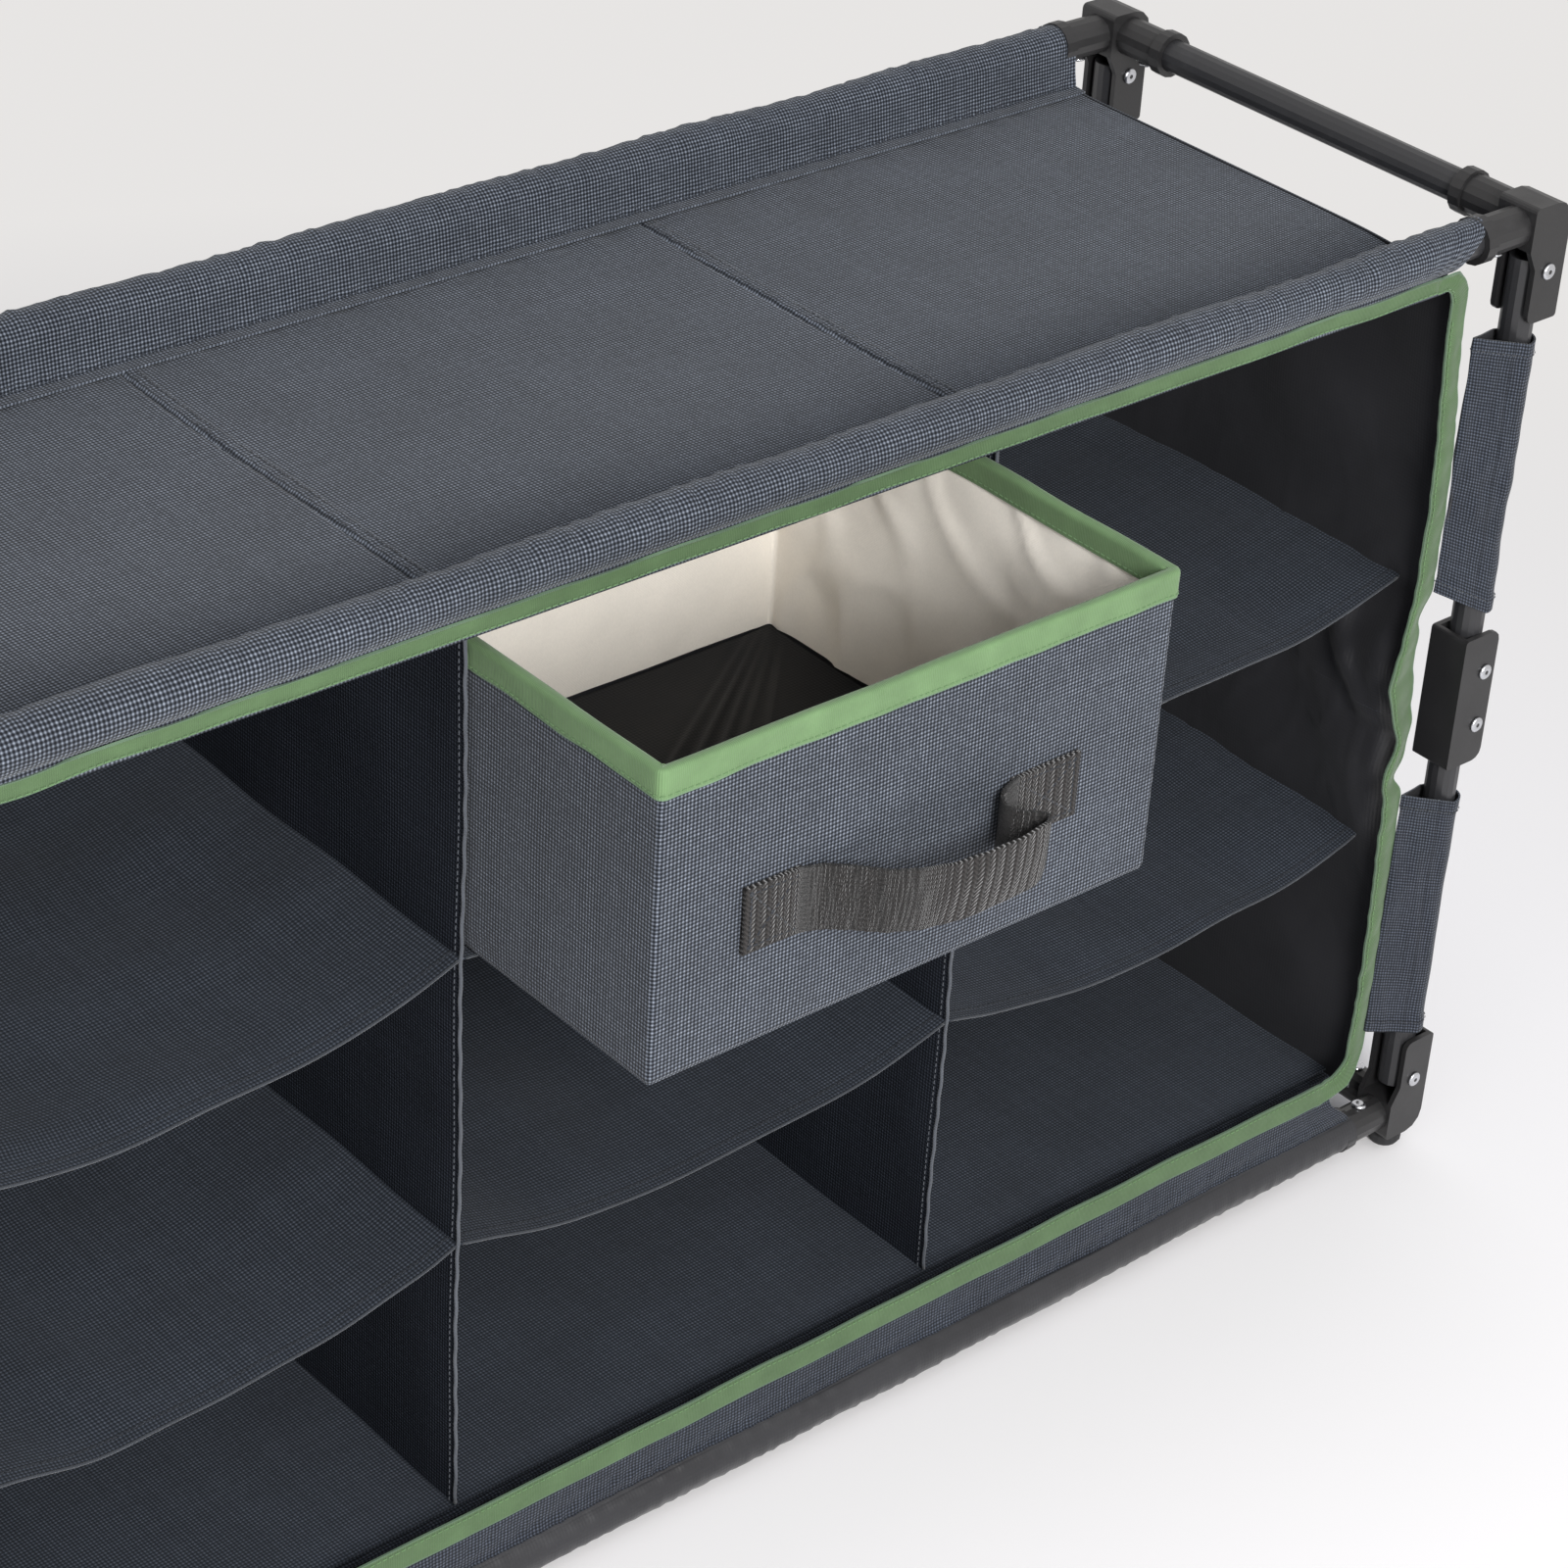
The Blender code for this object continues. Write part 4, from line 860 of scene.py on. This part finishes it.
def add_walls():
    for part, side_name, side, start, end in halves(SHELL_LOW.z, SHELL_HIGH.z):

        def place(u, v):
            return side * wall_x(u, v, side), u, v

        cloth(f"wall_{part}_{side_name}", place, steps(WALL_FRONT, BACK_Y, 0.004), steps(start, end, 0.004),
              [WEAVE, COATED], "hung", (side, 0, 0),
              [f"{part}_post_front_{side_name}", f"{part}_post_rear_{side_name}"], replaces=["fabric_shell"],
              body=f"{part}_front_{side_name}", slot="dark_cloth", squash=flattened(side * CORNER_PIN_X))


def add_back():
    def place(u, v):
        # Where the rear knees lie when folded, the panel stays flat
        knee_room = window(abs(u), 0.24, 0.27, 0.335, 0.365)
        slack = plateau(v, SHELL_LOW.z, SHELL_HIGH.z, 0.04) * (1 - knee_room)
        billow = 0.0028 * wave(u, v, 0.21, 91) * slack
        for _, side in SIDES:
            billow = billow - 0.001 * bell(u, side * DIVIDER_X, 0.004)
        return u, BACK_Y + 0.0014 + np.clip(billow, -0.0002, 0.006), v

    us = steps(-WALL_X - 0.0004, WALL_X + 0.0004, 0.008)
    vs = steps(SHELL_LOW.z, SHELL_HIGH.z, 0.008)
    cloth("back_panel", place, us, vs, [WEAVE, COATED], "hung", (0, 1, 0),
          ["wall_lower_left", "wall_lower_right"], replaces=["fabric_shell"], **INSIDE_CLOTH)


def divider_x(y, z, side):
    """The middle of a divider's cloth, which sways a little and waves at its edges."""
    slack = plateau(y, PANEL_FRONT, PANEL_REAR, 0.03)
    sway = 0.0009 * wave(y, z, 0.12, 101 + side) * slack
    return side * DIVIDER_X + sway + 0.0007 * np.sin(z * TAU / 0.21 + side) * (1 - slack)


def add_dividers():
    low, high = DIVIDER_LOW.z + 0.0002, DIVIDER_HIGH.z - 0.0002
    for name, side in SIDES:

        def place(u, v):
            return divider_x(u, v, side) - CLOTH / 2, u, v

        us, vs = steps(CLOTH_FRONT, CLOTH_REAR, 0.006), steps(low, high, 0.006)
        # The dividers take the darkest copy of the weave: painted shade.
        cloth(f"divider_cloth_{name}", place, us, vs, [SHADED_DIVIDER_WEAVE], "hung", (-1, 0, 0),
              ["floor_cloth", "back_panel"], replaces=[f"divider_{name}"], **INSIDE_CLOTH)
        v = steps(low + 0.001, high - 0.001, 0.004)
        edge = spots(place, CLOTH_FRONT, v)
        edge[:, 1] += 0.0004 * np.sin(v * TAU / 0.023) - 0.0003
        add_cord(f"divider_piping_{name}", edge, 0.0010, PIPING, **INSIDE_CLOTH)
        inset = spots(place, PANEL_FRONT + 0.005, v)
        lines = [(inset + [aside, 0, 0], (way, 0, 0)) for way, aside in ((-1, -0.0001), (1, CLOTH + 0.0001))]
        add_stitches(f"divider_stitches_{name}", lines, PIPING, **INSIDE_CLOTH)


FRONT_SAG = {"left": 0.030, "centre": 0.024, "right": 0.022}
DRAWER_SHELF_SAG = 0.008
REAR_SAG_SHARE = 0.4


def add_shelf(column, level, way, left, right):
    """A sagging shelf between the walls or dividers that it is sewn to."""
    node = f"{level}_shelf_{column}"
    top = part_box(node)[1].z
    flat = node == "upper_shelf_centre"
    sag = DRAWER_SHELF_SAG if flat else FRONT_SAG[column]
    seed = 111 + 7 * len(column) + (level == "upper")

    def ends(v, z):
        """Where the shelf meets the wall or divider to its left and right."""
        first = divider_x(v, z, 1 if way > 0 else -1) + CLOTH / 2 if way >= 0 else -wall_x(v, z, -1) + CLOTH
        last = divider_x(v, z, -1 if way < 0 else 1) - CLOTH / 2 if way <= 0 else wall_x(v, z, 1) - CLOTH
        return first, last

    def place(u, v):
        along = (u - left) / (right - left)
        back = (v - PANEL_FRONT) / (PANEL_REAR - PANEL_FRONT)
        hang = 1 - abs(2 * along - 1) ** 2.2
        drop = sag * (1 - (1 - REAR_SAG_SHARE) * back) * hang
        ripple = 0.0011 * wave(u, v, 0.11, seed) * ease(hang, 0.02, 0.35) * (0.1 if flat else 1)
        hem = 0.0006 * (1 - ease(v - PANEL_FRONT, 0.0085, 0.0098))
        flute = 0.0016 * bell(v, PANEL_FRONT, 0.030) * np.sin(along * TAU * 1.5 + seed) * hang
        z = top - 0.0010 - drop + ripple + (hem + flute) * (not flat)
        first, last = ends(v, z)
        return first + (last - first) * along, v, z

    hem = steps(CLOTH_FRONT, PANEL_FRONT + 0.012, 0.0012)
    vs = np.concatenate([hem, steps(PANEL_FRONT + 0.018, CLOTH_REAR, 0.007)])
    # Shelves take the darker inner copy of the weave: painted shade.
    cloth(f"{level}_shelf_cloth_{column}", place, steps(left, right, 0.005), vs, [SHADED_INNER_WEAVE, COATED],
          "hung", (0, 0, 1), ["divider_cloth_left", "divider_cloth_right"], replaces=[node], **INSIDE_CLOTH)
    u = steps(left + 0.002, right - 0.002, 0.004)
    edge = spots(place, u, CLOTH_FRONT) + [0, -0.0002, -0.0005]
    add_cord(f"{level}_shelf_piping_{column}", edge, 0.0008, HEM, **INSIDE_CLOTH)
    lines = [(spots(place, u, PANEL_FRONT + 0.0078), (0, 0, 1))]
    add_stitches(f"{level}_shelf_stitches_{column}", lines, THREAD, **INSIDE_CLOTH)


def add_shelves():
    edges = (-WALL_X, -DIVIDER_X, DIVIDER_X, WALL_X)
    for k, column in enumerate(("left", "centre", "right")):
        for level in ("lower", "upper"):
            add_shelf(column, level, k - 1, edges[k], edges[k + 1])


# Pockets on the posts

# How much higher each pocket's lower and upper edge lies at the post and at the tape
POCKET_CUTS = {"lower": ((0.002, 0.016), (-0.012, 0.004)), "upper": ((-0.001, 0.023), (-0.011, 0.001))}
POCKET_TIP = np.array([POST_X - 0.5180, 0.0044])
POCKET_HEM = 0.0085


def pocket_outlines():
    """(inward, outward) round a pocket: a barrel round the post, and a flat wing to the tape."""
    aim, spread = math.atan2(*POCKET_TIP[::-1]), math.acos(ROLL_RADIUS / np.hypot(*POCKET_TIP))
    front, rear = aim + spread, aim - spread

    def round_post(angle):
        return ROLL_RADIUS * np.array([math.cos(angle), math.sin(angle)])

    def on_line(angle):
        touch = round_post(angle)
        return touch + (POCKET_TIP - touch) * (WING_START - touch[0]) / (POCKET_TIP[0] - touch[0])

    barrel = [on_line(front), *map(round_post, np.linspace(front, TAU + rear, 40)), on_line(rear)]
    turn = [POCKET_TIP + shift for shift in ([-0.001, 0.0004], [0, 0], [-0.001, -0.0009])]
    return {"barrel": barrel, "wing": [on_line(front), *turn, on_line(rear)]}


def add_pocket(part, outline, level, post, side, depth):
    low, high = (corner.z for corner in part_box(f"{level}_sleeve_{post}"))
    (low_round, low_tip), (high_round, high_tip) = POCKET_CUTS[level]
    line, along = resampled(outline, 0.0018)
    direction = tangents(line)
    normal = np.stack([-direction[:, 1], direction[:, 0]], 1) * (-1 if part == "barrel" else 1)
    seed = 131 + 3 * side + 5 * depth + (level == "upper")

    def place(u, v):
        inward, out, ni, no = at(v, along, np.hstack([line, normal]))
        across = inward - 1.4 * out
        loose = 0.0006 * wave(u, across, 0.045, seed, 1.6) + 0.0003 * wave(u, across, 0.016, seed + 9, 2.5)
        hems = [ease(-abs(u - end), -POCKET_HEM - 0.001, -POCKET_HEM) for end in (low, high)]
        swell = loose + 0.0006 * (hems[0] + hems[1]) + 0.0002
        inward, out = inward + ni * swell, out + no * swell
        height = (u - low) / (high - low)
        reach = np.clip(inward / POCKET_TIP[0], 0, 1)
        shift = (1 - height) * (low_round + (low_tip - low_round) * reach)
        shift = shift + height * (high_round + (high_tip - high_round) * reach)
        return side * (POST_X - inward), (FRONT_Y if depth < 0 else REAR_Y) + depth * out, u + shift

    look = dict(body=f"{level}_{post}", slot="two_tone_weave")
    if part == "wing":
        look["squash"] = flattened(side * (POST_X - WING_START))
    # Pockets take the darker side copy of the weave: painted shade.
    cloth(f"{level}_pocket_{part}_{post}", place, steps(low, high, 0.004), along, [SHADED_SIDE_WEAVE, COATED],
          "folded", (side if part == "barrel" else -side, 0, 0), [f"{level}_post_{post}"],
          replaces=[f"{level}_sleeve_{post}"], **look)
    v = steps(0.0005, along[-1] - 0.0005, 0.001)
    ni, no = at(v, along, normal)
    facing = np.stack([-side * ni, depth * no, 0 * v], 1)
    rows = (low + POCKET_HEM, high - POCKET_HEM)
    lines = [(spots(place, u, v) + facing * 0.0002, facing) for u in rows]
    add_stitches(f"{level}_pocket_{part}_stitches_{post}", lines, THREAD, **look)


def add_pockets():
    """Each half post runs in a flat pocket of the weave."""
    outlines = pocket_outlines()
    for post, (side, depth) in POSTS.items():
        for level in ("lower", "upper"):
            for part, outline in outlines.items():
                add_pocket(part, outline, level, post, side, depth)


# Drawer

DRAWER_CLOTH = dict(body="drawer", slot="two_tone_weave")


def box_loop(inset, radius, step):
    """Points with outward directions round the drawer's plan, starting at the rear, and their distances."""
    x_half = DRAWER_HIGH.x - inset
    y_low, y_high = DRAWER_LOW.y + inset, DRAWER_HIGH.y - inset
    points, normals = [np.array((0.0, y_high))], [(0.0, 1.0)]

    def go_to(end, normal):
        """Straight on to a point, in steps where it is far."""
        start = points[-1]
        gap = np.linalg.norm(end - start)
        count = round(gap / step) if gap > 2 * step else 1
        for k in range(1, count):
            points.append(start + (end - start) * k / count)
            normals.append(normals[-1])
        points.append(end)
        normals.append(normal)

    right, left, rear, front = x_half - radius, radius - x_half, y_high - radius, y_low + radius
    for x, y, start in ((right, rear, 90), (right, front, 0), (left, front, -90), (left, rear, -180)):
        centre = np.array((x, y))
        for angle in np.radians(np.linspace(start, start - 90, 7)):
            out = np.array([math.cos(angle), math.sin(angle)])
            go_to(centre + radius * out, out)
    go_to(np.array((0.0, y_high)), (0.0, 1.0))
    points = np.array(points)
    return np.hstack([points, np.array(normals)]), distances(points)


def off_join(u, along):
    """0 where a loop's two ends meet, and 1 a little way from there."""
    return plateau(u, along[0], along[-1], 0.02)


def face_middle(x, y):
    """1 in the middle of each drawer wall, 0 at its upright edges."""
    half, centre = (DRAWER_HIGH.y - DRAWER_LOW.y) / 2, (DRAWER_LOW.y + DRAWER_HIGH.y) / 2
    cx = np.clip(1 - (x / DRAWER_HIGH.x) ** 2, 0, 1)
    cy = np.clip(1 - ((y - centre) / half) ** 2, 0, 1)
    on_side = abs(abs(x) - DRAWER_HIGH.x) < 0.012
    return np.maximum(cx * (abs(abs(y - centre) - half) < 0.012), cy * on_side)


def add_drawer_cloth():
    low, high = DRAWER_LOW.z, DRAWER_HIGH.z
    table, along = box_loop(0.0006, 0.0032, 0.006)

    def outer(u, v):
        x, y, nx, ny = at(u, along, table)
        inside = face_middle(x, y)
        tall = plateau(v, low, high, 0.02)
        swell = (0.0008 * inside + 0.0005 * wave(u, v, 0.10, 151) * off_join(u, along)) * tall * inside
        ridge = 0.0006 * bell(inside, 0, 0.02) * np.sin(v * TAU / 0.009) * tall
        tuck = -0.0012 * (1 - ease(v, low, low + 0.003))
        out = swell + tuck + ridge
        return x + nx * out, y + ny * out, v

    vs = np.concatenate([steps(low, low + 0.004, 0.001), steps(low + 0.009, high - 0.0004, 0.005)])
    cloth("drawer_cloth", outer, along, vs, [WEAVE, COATED], "folded", (0, -1, 0), ["drawer_bottom"],
          replaces=["drawer_box"], **DRAWER_CLOTH)

    def bottom(u, v):
        return u, v, low + 0.0003 + 0.0003 * abs(wave(u, v, 0.08, 155))

    inset = 0.0022
    cloth("drawer_bottom", bottom, steps(-DRAWER_HIGH.x + inset, DRAWER_HIGH.x - inset, 0.008),
          steps(DRAWER_LOW.y + inset, DRAWER_HIGH.y - inset, 0.008), [WEAVE, COATED], "stretched", (0, 0, -1),
          ["upper_shelf_cloth_centre"], thickness=0.0010, replaces=["drawer_box"], **DRAWER_CLOTH)


def add_drawer_lining():
    high = DRAWER_HIGH.z
    table, along = box_loop(0.0026, 0.0040, 0.005)
    low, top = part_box("drawer_base_board")

    def lining(u, v):
        x, y, nx, ny = at(u, along, table)
        inside = face_middle(x, y)
        tall = 1 - ease(v, high - 0.016, high - 0.004)
        slack = ease(inside, 0.0, 0.25) * tall * off_join(u, along)
        right_side = ease(x, 0.150, 0.158)
        soft = 0.0026 * np.clip(wave(u, v, 0.13, 161, 0.6) + 0.4, 0, None)
        soft = soft * slack * (0.15 + 0.85 * right_side)
        soft = soft + 0.0016 * crease(u, v, 0.15, 163, 0.45) * slack * (0.1 + right_side)
        soft = soft + 0.0010 * bell(u, along[-1] * 0.09, 0.006) * slack * right_side
        seam = 0.0016 * bell(inside, 0, 0.012) * (1 + 0.5 * np.sin(v * TAU / 0.017)) * tall
        return x - nx * (soft + seam), y - ny * (soft + seam), v

    cloth("drawer_lining", lining, along, steps(top.z - 0.001, high - 0.0006, 0.004), [LINING], "folded",
          (0, 1, 0), ["drawer_cloth"], thickness=0.0007, replaces=["drawer_box"], **DRAWER_CLOTH)
    # Pleats that fan out from the board's far right corner: how far aside each lies, and its height
    pleats = ((-0.016, 0.0010), (-0.006, 0.0016), (0.004, 0.0013), (0.013, 0.0009), (0.026, 0.0006))

    def board(u, v):
        z = top.z - 0.0004 + 0.0004 * wave(u, v, 0.10, 171)
        away = np.hypot(top.x - u, top.y - v)
        for aside, height in pleats:
            across = (top.x - u) * 0.617 - (top.y - v) * 0.787 + aside * (0.35 + away / 0.20)
            z = z + height * (bell(across, 0, 0.0019) - 0.5 * bell(across, 0.0042, 0.0024))
        return u, v, np.minimum(z, top.z + 0.0016)

    us, vs = (steps(start + 0.003, end - 0.003, 0.0022) for start, end in ((low.x, top.x), (low.y, top.y)))
    cloth("drawer_floor", board, us, vs, [BOARD], "laid", (0, 0, 1), ["drawer_bottom"], thickness=0.0024,
          replaces=["drawer_base_board"], body="drawer", slot="dark_cloth")


def add_drawer_rim():
    table, along = box_loop(0.0, 0.0036, 0.005)
    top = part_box("drawer_binding")[1].z
    profile = ((0.0012, -0.0158), (0.0014, -0.0020), (0.0004, -0.0002), (-0.0020, 0.0), (-0.0046, -0.0006),
               (-0.0056, -0.0024), (-0.0054, -0.0150))
    section, rim_v = resampled([(out, top + up) for out, up in profile], 0.0012)

    def rim(u, v):
        x, y, nx, ny = at(u, along, table)
        out, z = at(v, rim_v, section)
        free = off_join(u, along)
        edge = bell(v, 0, 0.004) * 0.0005 * wave(u, 0 * v, 0.05, 181)
        z = z + free * (edge + 0.0003 * wave(u, 0 * v, 0.09, 183))
        out = out + 0.0003 * wave(u, v, 0.03, 185, 2.0) * free
        return x + nx * out, y + ny * out, z

    look = dict(body="drawer", slot="green_binding")
    cloth("drawer_rim_tape", rim, along, rim_v, [RIM_TAPE], "folded", (0, -1, 1), ["drawer_cloth"],
          thickness=0.0009, replaces=["drawer_binding"], **look)
    out = np.column_stack([table[:, 2:], 0 * along])
    rows = ((TAPE_STITCH_IN, out), (rim_v[-1] - TAPE_STITCH_IN, -out))
    lines = [(spots(rim, along, v) + facing * 0.0002, facing) for v, facing in rows]
    add_stitches("drawer_rim_stitches", lines, GREEN_THREAD, **look)


# The handle's path as (x, y from the drawer's face): it leaves the left patch softly, droops as a loop, and
# folds back hard at the right
HANDLE_BENDS = np.array([
    (-0.1125, 0.0), (-0.095, 0.0), (-0.078, -0.0005), (-0.066, -0.0035), (-0.053, -0.0110), (-0.038, -0.0220),
    (-0.024, -0.0285), (-0.008, -0.0330), (0.010, -0.0350), (0.030, -0.0350), (0.046, -0.0335),
    (0.0555, -0.0310), (0.0585, -0.0275), (0.0545, -0.0230), (0.0470, -0.0190), (0.0425, -0.0140),
    (0.0440, -0.0080), (0.0510, -0.0030), (0.060, -0.0005), (0.080, 0.0), (0.1045, 0.0),
])
HANDLE_PATCHES = {"left": (-0.1125, -0.0770), "right": (0.0575, 0.1045)}
HANDLE_WIDTH = 0.037
PATCH_INSET = (0.004, 0.0035)


def add_handle():
    """Webbing sewn on at both ends with a patch over each."""
    face = DRAWER_LOW.y - 0.0016
    stretch = distances(HANDLE_BENDS)
    smooth = np.stack(list(at(steps(0, stretch[-1], 0.0008), stretch, HANDLE_BENDS)), 1)
    for _ in range(12):
        smooth[1:-1] = (smooth[:-2] + 2 * smooth[1:-1] + smooth[2:]) / 4
    deepest = -HANDLE_BENDS[:, 1].min()
    path, along = resampled(
        [(x, face + y, math.sin(0.5 * math.pi * min(1.0, -y / deepest))) for x, y in smooth], 0.002
    )
    centre = middle("drawer_handle", "z") + 0.003
    bottom = centre - HANDLE_WIDTH / 2

    def place(u, v):
        x, y, bulge = at(u, along, path)
        cup = 0.0012 * (2 * v / HANDLE_WIDTH - 1) ** 2 * bulge
        tilt = 0.0040 * bulge * (v / HANDLE_WIDTH - 0.5)
        edge = 0.0004 * wave(u, v, 0.03, 191) * ease(bulge, 0, 0.2)
        return x, y + cup - tilt + edge, bottom - 0.0060 * bulge + v

    def patch(u, v):
        return u, face + 0.0012 - 0.0004 * np.sin((v / HANDLE_WIDTH) * math.pi), bottom + v

    look = dict(body="drawer", slot="dark_webbing")

    def strap(name, place, us, thickness, replaces=()):
        cloth(name, place, us, steps(0, HANDLE_WIDTH, 0.0028), [WEBBING], None, (0, -1, 0),
              thickness=thickness, grow=0, replaces=replaces, **look)

    strap("handle_strap", place, along, 0.0019, ["drawer_handle"])
    lines = []
    y, (in_x, in_z) = face - 0.0010, PATCH_INSET
    z0, z1 = bottom + in_z, bottom + HANDLE_WIDTH - in_z
    for name, (start, end) in HANDLE_PATCHES.items():
        strap(f"handle_patch_{name}", patch, steps(start, end, 0.003), 0.0008)
        x0, x1 = start + in_x, end - in_x
        a, b, c, d = (x0, y, z0), (x1, y, z0), (x1, y, z1), (x0, y, z1)
        for first, last in ((a, b), (b, c), (c, d), (d, a), (a, c), (b, d)):
            lines.append((np.linspace(first, last, 8), (0, -1, 0)))
    add_stitches("handle_stitches", lines, THREAD, width=0.0009, height=0.0006, **look)


# Rivets

# (radius, height) from a head's rim to its shallow dimple
RIVET_HEAD = ((0.0048, 0.0), (0.0050, 0.0007), (0.0046, 0.0014), (0.0037, 0.0019), (0.0027, 0.0021),
              (0.0018, 0.0019), (0.0010, 0.0017), (0.00002, 0.0016))
RIVET_SIDES = 24
BRACKET_HALF = 0.0142
ARM_RIVET_AWAY, ARM_RIVET_RISE = 0.030, 0.0118


def add_rivets(name, body, seats):
    """Rivet heads: each seat is the middle of a head's underside and the way that it faces, never along x."""
    turn = np.linspace(0, TAU, RIVET_SIDES + 1)[:-1, None]
    radius, height = np.array(RIVET_HEAD).T[:, :, None, None]
    rings = np.arange(radius.size * RIVET_SIDES).reshape(-1, RIVET_SIDES)
    ahead = np.roll(rings, -1, 1)
    sides = np.stack([rings[:-1], ahead[:-1], ahead[1:], rings[1:]], -1).reshape(-1, 4)
    corners, faces = [], []
    for k, (seat, facing) in enumerate(seats):
        side = np.cross(facing, [1, 0, 0])
        around = side * np.cos(turn) + np.cross(facing, side) * np.sin(turn)
        corners.append(np.array(seat) + np.array(facing) * height + radius * around)
        faces += (sides + k * rings.size).tolist() + [(rings[0, ::-1] + k * rings.size).tolist()]
    add_piece(name, new_mesh(name, np.concatenate(corners), faces), [NICKEL], body, "black_plastic")


def add_all_rivets():
    """Heads on both faces of each bracket's pins, and one on each arm that holds a tube."""

    def pair(x, y, z):
        return [((x, y + way * BRACKET_HALF, z), (0, way, 0)) for way in (-1, 1)]

    places = {post: (side, depth, FRONT_Y if depth < 0 else REAR_Y) for post, (side, depth) in POSTS.items()}
    for kind, tube_z, up in (("base", BASE_TUBE_Z, 1), ("top", TOP_TUBE_Z, -1)):
        seats = []
        arm_z = tube_z + up * ARM_RIVET_RISE
        for side, depth, y in places.values():
            seats += pair(side * CORNER_PIN_X, y, tube_z + up * CORNER_PIN_RISE)
            seats.append(((side * (POST_X - ARM_RIVET_AWAY), y, arm_z), (0, 0, up)))
            seats.append(((side * POST_X, y - depth * ARM_RIVET_AWAY, arm_z), (0, 0, up)))
        add_rivets(f"rivets_{kind}", kind, seats)
    for post, (side, _, y) in places.items():
        low, high = (pair(side * KNEE_PIN_X, y, MIDDLE_Z + way * KNEE_PIN_HALF_SPACING) for way in (-1, 1))
        add_rivets(f"rivets_knee_{post}", f"knee_{post}", [low[0], high[0], low[1], high[1]])


def finish_hard_parts():
    """The CAD's own rigid nodes keep their meshes and get the finished materials."""
    looks = {"_tube_": STEEL, "_post_": STEEL, "_corner_": PLASTIC, "knee_bracket": PLASTIC, "foot": RUBBER}
    for name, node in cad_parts.items():
        material = next((look for word, look in looks.items() if word in name), None)
        if material is None:
            continue
        if not node.material_slots:
            node.data.materials.append(material)
        for slot in node.material_slots:
            slot.material = material


add_camera()
add_surroundings()
finish_hard_parts()
add_cover()
add_floor_cloth()
for is_top in (False, True):
    for is_front in (False, True):
        add_roll(is_top, is_front)
    add_tape_run(is_top)
add_tape_uprights()
add_walls()
add_back()
add_dividers()
add_shelves()
add_pockets()
add_drawer_cloth()
add_drawer_lining()
add_drawer_rim()
add_handle()
add_all_rivets()
